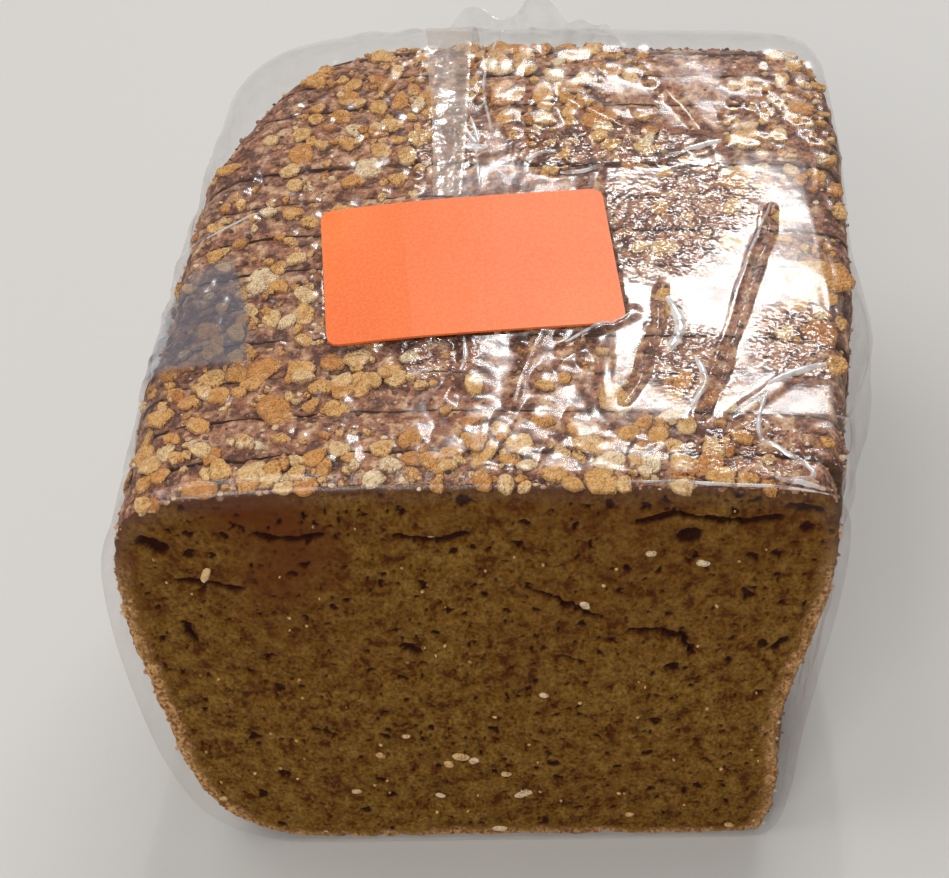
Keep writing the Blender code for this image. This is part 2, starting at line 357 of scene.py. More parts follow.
def crumbMaterial():
    # dark rye crumb: golden brown walls, pores and cracks painted near-black as painted shade, redder towards
    # the top, tan rind at the sides
    look = {"light": (0.270, 0.150, 0.024), "mid": (0.165, 0.076, 0.004), "dark": (0.062, 0.014, 0.001),
            "red": (0.105, 0.026, 0.002), "poreShade": (0.022, 0.002, 0.001), "rind": (0.090, 0.028, 0.008),
            "side": (0.620, 0.350, 0.145), "sideDark": (0.170, 0.062, 0.014)}
    material, tree, shader = newMaterial("ryeCrumb")
    at = addNode(tree, "ShaderNodeMapping", Scale=(1.0, 1.0, 0.74))
    tree.links.new(objectCoords(tree), at.inputs["Vector"])
    at = at.outputs["Vector"]
    broad = noiseNode(tree, at, 34, 2)
    clots = noiseNode(tree, at, 420, 4, 0.66)
    fine = noiseNode(tree, at, 1500, 2, 0.7)
    cells = voronoiNode(tree, at, 820)
    walls = ramp(tree, clots, [(0.36, look["dark"]), (0.44, look["mid"]), (0.62, look["light"])])
    grainy = blendColour(tree, span(tree, fine, 0.36, 0.62, 0.65, 0.0), walls, look["dark"])
    place = addNode(tree, "ShaderNodeSeparateXYZ")
    tree.links.new(objectCoords(tree), place.inputs[0])
    leftUp = sumOf(tree, span(tree, place.outputs["X"], -0.060, -0.005, 1.0, 0.0),
                   span(tree, place.outputs["Z"], 0.055, 0.100), "MULTIPLY")
    upper = span(tree, place.outputs["Z"], 0.050, 0.104, 0.0, 0.45)
    redder = sumOf(tree, sumOf(tree, leftUp, upper), 0.10)
    redness = sumOf(tree, span(tree, broad, 0.36, 0.60, 0.25, 1.0), redder, "MULTIPLY")
    reddened = blendColour(tree, redness, grainy, look["red"])
    # small dark specks for tiny pores: painted shade in the holes
    microPoreShade = sumOf(tree, span(tree, cells, 0.16, 0.36, 0.9, 0.0), span(tree, clots, 0.42, 0.60, 1.0, 0.2),
                   "MULTIPLY")
    microPoreShaded = blendColour(tree, microPoreShade, reddened, look["dark"])
    # pores and cracks coloured near-black: painted shade in the holes
    poreShadeShare = span(tree, attributeValue(tree, "pore"), 0.12, 0.70, 0.0, 0.95)
    deep = blendColour(tree, poreShadeShare, microPoreShaded, look["poreShade"])
    border = sumOf(tree, attributeValue(tree, "edge"), span(tree, clots, 0.35, 0.65, -1.1, 1.1))
    topRind = blendColour(tree, span(tree, border, 0.2, 1.8, 0.7, 0.0), deep, look["rind"])
    floured = blendColour(tree, span(tree, fine, 0.40, 0.62), look["side"], look["sideDark"])
    sideRind = blendColour(tree, span(tree, border, 1.2, 3.4, 0.95, 0.0), deep, floured)
    rind = blendColour(tree, span(tree, place.outputs["Z"], 0.082, 0.094), sideRind, topRind)
    tree.links.new(rind, shader.inputs["Base Color"])
    setFinish(shader, 0.85, 0.12)
    bump(tree, shader, clots, 1.0, 0.0010)
    return material


def crustMaterial():
    # floury crust: mauve brown on the crown, orange tan down the sides, with painted shade in its hollows,
    # painted highlight on its bumps and black-brown painted shade in the cuts between slices
    look = {"dark": (0.105, 0.040, 0.026), "crown": (0.245, 0.092, 0.052), "warm": (0.385, 0.165, 0.085),
            "flourAndHighlight": (0.620, 0.400, 0.240), "side": (0.450, 0.245, 0.110), "sideDark": (0.190, 0.080, 0.030),
            "cut": (0.060, 0.024, 0.014)}
    material, tree, shader = newMaterial("flouryCrust")
    at = objectCoords(tree)
    patches = noiseNode(tree, at, 60, 3, 0.65)
    coarse = noiseNode(tree, at, 470, 3, 0.68)
    grain = noiseNode(tree, at, 1300, 2, 0.7)
    dust = noiseNode(tree, at, 150, 5, 0.8)
    paintedRelief = sumOf(tree, attributeValue(tree, "paintedRelief"), 0.5, "MULTIPLY")
    # the colour follows the bumps, darker in the hollows and paler on the bumps: painted shade and painted
    # highlight
    rise = sumOf(tree, paintedRelief, span(tree, coarse, 0.30, 0.70, -0.10, 0.60))
    crown = ramp(tree, sumOf(tree, rise, span(tree, patches, 0.35, 0.65, -0.12, 0.12)),
                 [(0.26, look["dark"]), (0.42, look["crown"]), (0.66, look["warm"]), (0.86, look["flourAndHighlight"])])
    side = ramp(tree, patches, [(0.36, look["sideDark"]), (0.60, look["side"])])
    place = addNode(tree, "ShaderNodeSeparateXYZ")
    tree.links.new(at, place.inputs[0])
    upper = span(tree, place.outputs["Z"], 0.086, 0.102)
    base = blendColour(tree, upper, side, crown)
    # darker still in the deepest hollows: painted shade
    hollowShaded = blendColour(tree, span(tree, rise, 0.18, 0.34, 0.7, 0.0), base, look["dark"])
    # flour dust laid mostly on the bumps: partly real flour, partly painted highlight
    dustAndHighlight = sumOf(tree, span(tree, dust, 0.46, 0.64, 0.0, 0.65), span(tree, rise, 0.35, 0.75, 0.15, 1.0),
                  "MULTIPLY")
    floured = blendColour(tree, dustAndHighlight, hollowShaded, look["flourAndHighlight"])
    speckled = blendColour(tree, span(tree, grain, 0.58, 0.68, 0.0, 0.45), floured, look["flourAndHighlight"])
    # black-brown along the cut edges of each slice: painted shade in the gaps between slices
    cutShare = span(tree, attributeValue(tree, "edge"), 0.3, 1.2, 0.0, 0.40)
    cut = blendColour(tree, cutShare, speckled, look["cut"])
    tree.links.new(cut, shader.inputs["Base Color"])
    setFinish(shader, 0.85, 0.25)
    bump(tree, shader, sumOf(tree, sumOf(tree, grain, 0.22, "MULTIPLY"), coarse), 1.0, 0.0016)
    return material


def oatMaterial():
    # toasted rolled oats, from toasted orange to pale, streaked along their length, with painted shade along
    # the crease, the rims and the undersides
    material, tree, shader = newMaterial("toastedOats")
    at = objectCoords(tree)
    body = ramp(tree, attributeValue(tree, "tone"), [
        (0.0, (0.600, 0.225, 0.050)), (0.28, (0.720, 0.320, 0.075)), (0.55, (0.820, 0.440, 0.130)),
        (0.80, (0.880, 0.570, 0.250)), (1.0, (0.910, 0.720, 0.460)),
    ])
    mottle = noiseNode(tree, at, 560, 3, 0.74)
    fibre = noiseNode(tree, at, 1700, 1, 0.6)
    toasted = blendColour(tree, span(tree, mottle, 0.52, 0.66, 0.0, 0.62), body, (0.460, 0.185, 0.048))
    dusted = blendColour(tree, span(tree, mottle, 0.46, 0.34, 0.0, 0.60), toasted, (0.910, 0.670, 0.380))
    # darker along the crease groove: painted shade
    creaseShadeShare = span(tree, attributeValue(tree, "crease"), 0.2, 0.9, 0.0, 0.25)
    creased = blendColour(tree, creaseShadeShare, dusted, (0.330, 0.140, 0.040))
    # darker at the rims and over the underside: painted shade
    rimShadeShare = span(tree, attributeValue(tree, "rim"), 0.0, 0.40, 0.42, 0.0)
    low = blendColour(tree, rimShadeShare, creased, (0.260, 0.110, 0.040))
    tree.links.new(low, shader.inputs["Base Color"])
    setFinish(shader, 0.66, 0.35)
    bump(tree, shader, sumOf(tree, sumOf(tree, mottle, 2.0, "MULTIPLY"), fibre), 1.0, 0.0011)
    return material


def crumbsMaterial():
    # loose crumbs of crust and flour
    material, tree, shader = newMaterial("crustCrumbs")
    at = objectCoords(tree)
    tone = ramp(tree, attributeValue(tree, "tone"), [
        (0.0, (0.070, 0.028, 0.020)), (0.4, (0.230, 0.110, 0.072)),
        (0.7, (0.450, 0.255, 0.130)), (1.0, (0.700, 0.520, 0.330)),
    ])
    mottle = noiseNode(tree, at, 900, 3, 0.6)
    spotted = blendColour(tree, span(tree, mottle, 0.5, 0.65, 0.0, 0.4), tone, (0.12, 0.05, 0.03))
    tree.links.new(spotted, shader.inputs["Base Color"])
    setFinish(shader, 0.85, 0.25)
    bump(tree, shader, mottle, 0.5, 0.0004)
    return material


def filmMaterial(name, look):
    # thin clear film: nearly see-through, with a soft sheen under a sharp gloss, cloudier where it turns
    # away, and grey where its haze attribute carries a painted sheen
    material, tree, shader = newMaterial(name)
    at = objectCoords(tree)
    facing = addNode(tree, "ShaderNodeLayerWeight", Blend=0.5)
    hazeAndSheen = attributeValue(tree, "hazeAndSheen")
    turned = sumOf(tree, facing.outputs["Facing"], 3.0, "POWER")
    alpha = span(tree, turned, 0.0, 0.8, look["clear"], look["edge"])
    cloudy = sumOf(tree, alpha, sumOf(tree, hazeAndSheen, look["hazeAndSheenAlpha"], "MULTIPLY"))
    loose = span(tree, attributeValue(tree, "cling"), 0.0, 1.0, 1.0, 0.05)
    # a blue field on the film: tinted blue and less clear where the print attribute is set
    blueFieldAlpha = sumOf(tree, attributeValue(tree, "print"), 0.42, "MULTIPLY")
    patchy = span(tree, noiseNode(tree, at, 330, 1, 0.5), 0.38, 0.58, look["least"], 1.0)
    thin = sumOf(tree, sumOf(tree, cloudy, loose, "MULTIPLY"), patchy, "MULTIPLY")
    tree.links.new(sumOf(tree, thin, blueFieldAlpha), shader.inputs["Alpha"])
    # whiter where hazy or turned away, and where the painted sheen lies
    cloudAndSheenShare = sumOf(tree, hazeAndSheen, sumOf(tree, turned, 1.5, "MULTIPLY"))
    cloudAndSheen = blendColour(tree, cloudAndSheenShare, look["tint"], look["hazeAndSheenTint"])
    blueFieldTinted = blendColour(tree, attributeValue(tree, "print"), cloudAndSheen, (0.035, 0.060, 0.105))
    tree.links.new(blueFieldTinted, shader.inputs["Base Color"])
    shader.inputs["Roughness"].default_value = look["roughness"]
    shader.inputs["IOR"].default_value = look["ior"]
    shader.inputs["Coat Weight"].default_value = 1.0
    shader.inputs["Coat Roughness"].default_value = look["gloss"]
    shader.inputs["Coat IOR"].default_value = look["coat"]
    ripple = noiseNode(tree, at, 90, 1, 0.5)
    crinkle = noiseNode(tree, at, 620, 1, 0.5)
    crackle = span(tree, attributeValue(tree, "crackle"), 0.0, 1.0, 0.05, 1.3)
    creased = sumOf(tree, crinkle, crackle, "MULTIPLY")
    bump(tree, shader, sumOf(tree, sumOf(tree, ripple, 0.30, "MULTIPLY"), creased), look["crease"], 0.001)
    tree.links.new(shader.inputs["Normal"].links[0].from_socket, shader.inputs["Coat Normal"])
    return material


def labelMaterial():
    # satin orange paper, a little lighter on its raised waves where the film under it lifts: painted
    # highlight
    material, tree, shader = newMaterial("orangeSticker")
    at = objectCoords(tree)
    waves = noiseNode(tree, at, 28, 2, 0.4)
    grain = noiseNode(tree, at, 1800, 2, 0.5)
    # lighter orange where the waves rise, as the bump raises them: painted highlight
    tone = ramp(tree, waves, [
        (0.30, (0.740, 0.125, 0.016)), (0.55, (0.780, 0.145, 0.022)), (0.75, (0.820, 0.180, 0.036)),
    ])
    fibre = blendColour(tree, span(tree, grain, 0.40, 0.62, 0.0, 0.10), tone, (1.0, 0.48, 0.26))
    tree.links.new(fibre, shader.inputs["Base Color"])
    setFinish(shader, 0.45, 0.3)
    bump(tree, shader, sumOf(tree, waves, sumOf(tree, grain, 0.05, "MULTIPLY")), 0.25, 0.0012)
    return material


crumb = crumbMaterial()
crust = crustMaterial()
oats = oatMaterial()
looseCrumbs = crumbsMaterial()
clearFilm = filmMaterial("clearFilm", {
    "clear": 0.065, "edge": 0.42, "hazeAndSheenAlpha": 0.09,
    "tint": (0.03, 0.03, 0.03), "hazeAndSheenTint": (0.50, 0.49, 0.48),
    "roughness": 0.22, "ior": 6.0, "crease": 0.5, "gloss": 0.06, "coat": 2.0, "least": 0.80})
doubleFilm = filmMaterial("doubleFilm", {
    "clear": 0.15, "edge": 0.45, "hazeAndSheenAlpha": 0.10,
    "tint": (0.66, 0.56, 0.47), "hazeAndSheenTint": (0.72, 0.64, 0.57),
    "roughness": 0.3, "ior": 2.0, "crease": 0.4, "gloss": 0.06, "coat": 1.8, "least": 0.75})
gatheredFilm = filmMaterial("gatheredFilm", {
    "clear": 0.07, "edge": 0.55, "hazeAndSheenAlpha": 0.05,
    "tint": (0.42, 0.40, 0.38), "hazeAndSheenTint": (0.70, 0.68, 0.66),
    "roughness": 0.3, "ior": 2.2, "crease": 0.5, "gloss": 0.06, "coat": 2.0, "least": 0.6})
# near-white, half-clear film for the folds: partly real doubled film, partly a painted highlight along each
# fold
foldedFilmAndGlint = filmMaterial("foldedFilmAndGlint", {
    "clear": 0.50, "edge": 0.85, "hazeAndSheenAlpha": 0.2, "tint": (0.86, 0.85, 0.84), "hazeAndSheenTint": (0.9, 0.9, 0.9),
    "roughness": 0.2, "ior": 2.2, "crease": 0.3, "gloss": 0.06, "coat": 2.0, "least": 0.2})
sticker = labelMaterial()
print("materials ready")


loaf = {"slices": 14, "pitch": 9.3, "gap": 0.4, "frontY": 0.9, "lateral": 0.45, "lift": 0.45,
        "columns": 400, "rows": 10,
        "faceGrid": 230, "centre": (-2.0, 54.0), "edgeRound": 0.9}
sliceDraw = random.Random(5)
sliceShifts = [(sliceDraw.uniform(-1, 1) * loaf["lateral"], sliceDraw.uniform(-1, 0.3) * loaf["lift"])
               for _ in range(loaf["slices"])]


def crustRelief(p):
    # bumps of the baked crust, in millimetres along the surface
    broad = noise.noise(p * 0.11) * 0.40
    lumps = noise.noise(p * 0.36 + Vector((7, 3, 1))) * 0.34
    fine = noise.noise(p * 0.85 + Vector((1, 9, 4))) * 0.30
    return broad + lumps + fine - 0.15


def paintedReliefMask(p):
    # 0 in the hollows of the crust, 1 on its bumps: the mask for painted shade in the hollows and painted
    # highlight on the bumps
    lumps = noise.noise(p * 0.36 + Vector((7, 3, 1)))
    fine = noise.noise(p * 0.85 + Vector((1, 9, 4)))
    return clamp(0.5 + 0.9 * lumps + 0.8 * fine)


def poreDepth(p):
    # 0 on the walls of the crumb, up to 1 in a pore
    warp = Vector((noise.noise(p * 0.5), 0.0, noise.noise(p * 0.5 + Vector((31, 0, 5))))) * 0.45
    fray = noise.noise(p * 1.4 + Vector((3, 3, 3))) * 0.10
    near, spots = noise.voronoi(Vector((p.x * 0.28, 3.7, p.z * 0.22)) + warp * 0.6)
    chance = noise.noise(spots[0] * 9.17) * 0.5 + 0.5
    big = ease((0.04 + 0.36 * chance + fray - near[0]) / 0.12) if chance > 0.50 else 0.0
    near2, spots2 = noise.voronoi(Vector((p.x * 0.62, 9.1, p.z * 0.47)) + warp)
    chance2 = noise.noise(spots2[0] * 5.31) * 0.5 + 0.5
    small = 0.8 * ease((0.10 + 0.36 * chance2 + fray - near2[0]) / 0.16) if chance2 > 0.42 else 0.0
    return max(big, small)


crackLines = [  # cracks and torn hollows in the cut face: x, z pairs, width, depth
    ([(27, 99), (33, 101), (38, 99.5), (45, 98.5), (50, 99.5)], 0.9, 1.7),
    ([(35.5, 95.0)], 2.0, 2.4),
    ([(8, 82), (13, 78.5), (17, 75), (20, 73)], 0.7, 1.3),
    ([(25.5, 69), (30, 69), (35, 66.5), (36.5, 62)], 0.8, 1.5),
    ([(33, 57.5)], 1.5, 1.6),
    ([(53, 66), (51, 63)], 0.9, 1.2),
    ([(-57, 97), (-55, 95)], 1.6, 2.0),
    ([(-38, 98), (-32, 96.5), (-27, 97.5)], 0.9, 1.3),
    ([(-14, 97), (-7, 95.5), (-2, 97)], 0.8, 1.2),
    ([(-53, 86), (-47, 85), (-43, 83.5)], 0.9, 1.3),
    ([(-54, 74), (-53, 69)], 0.9, 1.2),
    ([(-15, 66), (-13, 64)], 1.0, 1.2),
    ([(12, 62), (17, 60)], 0.6, 0.8),
    ([(-35, 40), (-31, 38)], 0.6, 0.8),
    ([(57, 101), (52, 102.5)], 0.8, 1.3),
]


def segmentDistance(px, pz, points):
    best = 1e9
    if len(points) == 1:
        return math.hypot(px - points[0][0], pz - points[0][1])
    for (x0, z0), (x1, z1) in zip(points, points[1:]):
        dx = x1 - x0
        dz = z1 - z0
        t = clamp(((px - x0) * dx + (pz - z0) * dz) / (dx * dx + dz * dz))
        best = min(best, math.hypot(px - x0 - dx * t, pz - z0 - dz * t))
    return best


def crackDepth(p):
    deep = 0.0
    wander = noise.noise(p * 0.7) * 0.9
    for points, width, depth in crackLines:
        low = min(x for x, z in points) - 4
        high = max(x for x, z in points) + 4
        if low < p.x < high:
            d = segmentDistance(p.x + wander, p.z + wander * 0.6, points)
            deep = max(deep, depth * ease(1.25 - d / width))
    return deep


def radiusTable(outline, centre, steps=1440):
    # how far the outline lies from its centre, by angle
    table = [0.0] * steps
    for a in outline:
        d = a - centre
        angle = math.atan2(d.y, d.x) % (2 * math.pi)
        table[int(angle / (2 * math.pi) * steps) % steps] = d.length
    last = next(v for v in reversed(table) if v)
    for i in range(steps):
        if table[i]:
            last = table[i]
        table[i] = last
    return table


def makeFrontSlice():
    # the first slice: a fine grid for the torn crumb, then the rim pulled back from its border
    n = loaf["faceGrid"]
    outline = smoothOutline(loafShape["outline"], 4000)
    centre = Vector(loaf["centre"])
    table = radiusTable(outline, centre)
    steps = len(table)
    half = (59.0, 53.0)
    poreShades = []
    edges = []

    def place(i, j):
        u = i / n * 2 - 1
        v = j / n * 2 - 1
        k = max(abs(u), abs(v))
        if k < 1e-6:
            poreShades.append(0.0)
            edges.append(50.0)
            return toFrame(centre.x, loaf["frontY"], centre.y)
        bx = u / k * half[0]
        bz = v / k * half[1]
        angle = math.atan2(bz, bx) % (2 * math.pi)
        spot = angle / (2 * math.pi) * steps
        low = int(spot) % steps
        reach = table[low] * (1 - spot % 1) + table[(low + 1) % steps] * (spot % 1)
        reach += 0.45 * noise.noise(Vector((math.cos(angle) * 9, 2, math.sin(angle) * 9))) - 0.25
        torn = noise.noise(Vector((math.cos(angle) * 34, 5, math.sin(angle) * 34)))
        reach += 0.50 * torn * ease((k - 0.9) / 0.1)
        size = math.hypot(bx, bz)
        rim = (1 - k) * reach
        x = centre.x + bx / size * reach * k
        z = centre.y + bz / size * reach * k
        p = Vector((x, 0.0, z))
        pore = poreDepth(p) * ease(rim / 0.8)
        crack = crackDepth(p)
        turn = max(0.0, 1 - rim / loaf["edgeRound"])
        y = loaf["frontY"] + 0.70 * pore + crack + 0.9 * turn * turn
        y += noise.noise(p * 0.16) * 0.35 + noise.noise(p * 0.6) * 0.16
        # the pore mask covers pores and cracks; the crumb reads it as painted shade
        poreShades.append(max(pore, min(crack, 1.0)))
        edges.append(rim + noise.noise(p * 0.35) * 0.5)
        return toFrame(x, max(y, 0.35), z)

    piece = shapedGrid("frontSlice", n, n, place)
    dress(piece, crumb, crust)
    newAttribute(piece, "pore", poreShades)
    newAttribute(piece, "edge", edges)
    for polygon in piece.data.polygons:
        polygon.material_index = 0
    editAll(piece)
    bpy.ops.mesh.region_to_loop()
    step = (loaf["pitch"] - 2.2) / 5
    for pull in (0.5, step, step, step, step, step - 0.4):
        bpy.ops.mesh.extrude_edges_move(TRANSFORM_OT_translate={"value": (0, pull * 0.001, 0)})
    bpy.ops.mesh.edge_face_add()
    bpy.ops.mesh.select_all(action="SELECT")
    bpy.ops.mesh.normals_make_consistent(inside=False)
    bpy.ops.object.mode_set(mode="OBJECT")
    return piece


def finishFrontRim(piece):
    # give the pulled rim its crust relief, and the crust material behind the cut
    centre = Vector(loaf["centre"])
    rimStart = loaf["frontY"] + 0.55
    for vert in piece.data.vertices:
        p = fromFrame(vert.co)
        if p.y > rimStart + 0.6:
            out = Vector((p.x - centre.x, 0.0, p.z - centre.y)).normalized()
            ends = max(0.0, 1 - (loaf["pitch"] - p.y) / 1.2)
            p += out * (crustRelief(p) * min((p.y - rimStart) / 1.5, 1.0) - 0.35 * ends * ends)
            p.z = max(p.z, 0.3)
            vert.co = toFrame(*p)
    for polygon in piece.data.polygons:
        if polygon.index >= loaf["faceGrid"] ** 2 and len(polygon.vertices) == 4:
            polygon.material_index = 1
    # mask for the crust's painted shade and painted highlight
    newAttribute(piece, "paintedRelief", [paintedReliefMask(fromFrame(vert.co)) for vert in piece.data.vertices])


def closeEnds(piece):
    # fill the open borders and turn every face outwards
    editAll(piece)
    bpy.ops.mesh.select_all(action="DESELECT")
    bpy.ops.mesh.select_mode(type="EDGE")
    bpy.ops.mesh.select_non_manifold()
    bpy.ops.mesh.fill_holes(sides=0)
    bpy.ops.mesh.select_all(action="SELECT")
    bpy.ops.mesh.normals_make_consistent(inside=False)
    bpy.ops.object.mode_set(mode="OBJECT")


def makeSlice(index):
    # one of the slices behind: a tube of crust closed by two flat cuts
    columns = loaf["columns"]
    rows = loaf["rows"]
    outline = smoothOutline(loafShape["outline"], columns, 1.8)
    start = index * loaf["pitch"] + loaf["gap"] / 2
    stop = start + loaf["pitch"] - loaf["gap"]
    shift, lift = sliceShifts[index]
    edges = []
    paintedReliefs = []

    def place(i, j):
        t = j / rows
        y = start + (stop - start) * t
        p = sectionPoint(loafShape, outline[i % columns], y)
        high = ease((p.z - 10) / 70)
        p.x += shift * high
        p.z += lift * high
        border = min(t, 1 - t) * (stop - start)
        middleXZ = Vector((0.0, y, 54.0))
        out = (p - middleXZ).normalized()
        torn = 0.5 + 0.5 * noise.noise(p * 0.30 + Vector((index * 3.0, 0, 0)))
        p += out * (crustRelief(p) - (0.10 + 0.75 * torn * torn) * max(0.0, 1 - border / 1.4) ** 2)
        # edge is high near a cut: the crust paints shade in the gap from it, the crumb its rind
        edges.append(max(0.0, 1.3 - border * 1.5))
        paintedReliefs.append(paintedReliefMask(p))
        p.z = max(p.z, 0.3)
        return toFrame(*p)

    piece = shapedGrid(f"slice{index}", columns, rows, place)
    dress(piece, crumb, crust)
    newAttribute(piece, "edge", edges)
    newAttribute(piece, "pore", [0.0] * len(edges))
    newAttribute(piece, "paintedRelief", paintedReliefs)
    mergeAndFace(piece)
    for polygon in piece.data.polygons:
        polygon.material_index = 1
    closeEnds(piece)
    for polygon in piece.data.polygons:
        if len(polygon.vertices) > 4:
            polygon.material_index = 0
    return piece


def makeHeel():
    # the end slice, rounded over to its back
    columns = loaf["columns"]
    index = loaf["slices"] - 1
    outline = smoothOutline(loafShape["outline"], columns, 1.8)
    start = index * loaf["pitch"] + loaf["gap"] / 2
    length = loafShape["length"]
    turns = 12
    caps = 34
    edges = []
    paintedReliefs = []

    def place(i, j):
        ring = outline[i % columns]
        t = min(j / turns, 1.0)
        y = start + (length - start) * math.sin(t * math.pi / 2)
        p = sectionPoint(loafShape, ring, y)
        # edge is high near the heel's cut, where the crust paints shade in the gap
        edges.append(max(0.0, 1.2 - j * 0.9))
        paintedReliefs.append(paintedReliefMask(p))
        centre = Vector((6.0, y, 50.0))
        if j > turns:
            k = 1 - (j - turns) / caps
            p = centre + (p - centre) * k
            p.y += crustRelief(p) * 1.2 - 0.5 + 0.8 * (1 - k) ** 2
        else:
            out = (p - Vector((0.0, y - 20, 54.0))).normalized()
            p += out * crustRelief(p)
        p.y = min(p.y, length + 0.6)
        p.z = max(p.z, 0.3)
        return toFrame(*p)

    piece = shapedGrid("heel", columns, turns + caps, place)
    dress(piece, crumb, crust)
    newAttribute(piece, "edge", edges)
    newAttribute(piece, "pore", [0.0] * len(edges))
    newAttribute(piece, "paintedRelief", paintedReliefs)
    mergeAndFace(piece)
    for polygon in piece.data.polygons:
        polygon.material_index = 1
    closeEnds(piece)
    return piece


frontSlice = makeFrontSlice()
finishFrontRim(frontSlice)
smooth(frontSlice, 70)
print("front slice shaped")
backSlices = joinAll("backSlices", [makeSlice(k) for k in range(1, loaf["slices"] - 1)] + [makeHeel()])
smooth(backSlices, 60)
print("slices behind shaped", len(backSlices.data.polygons))


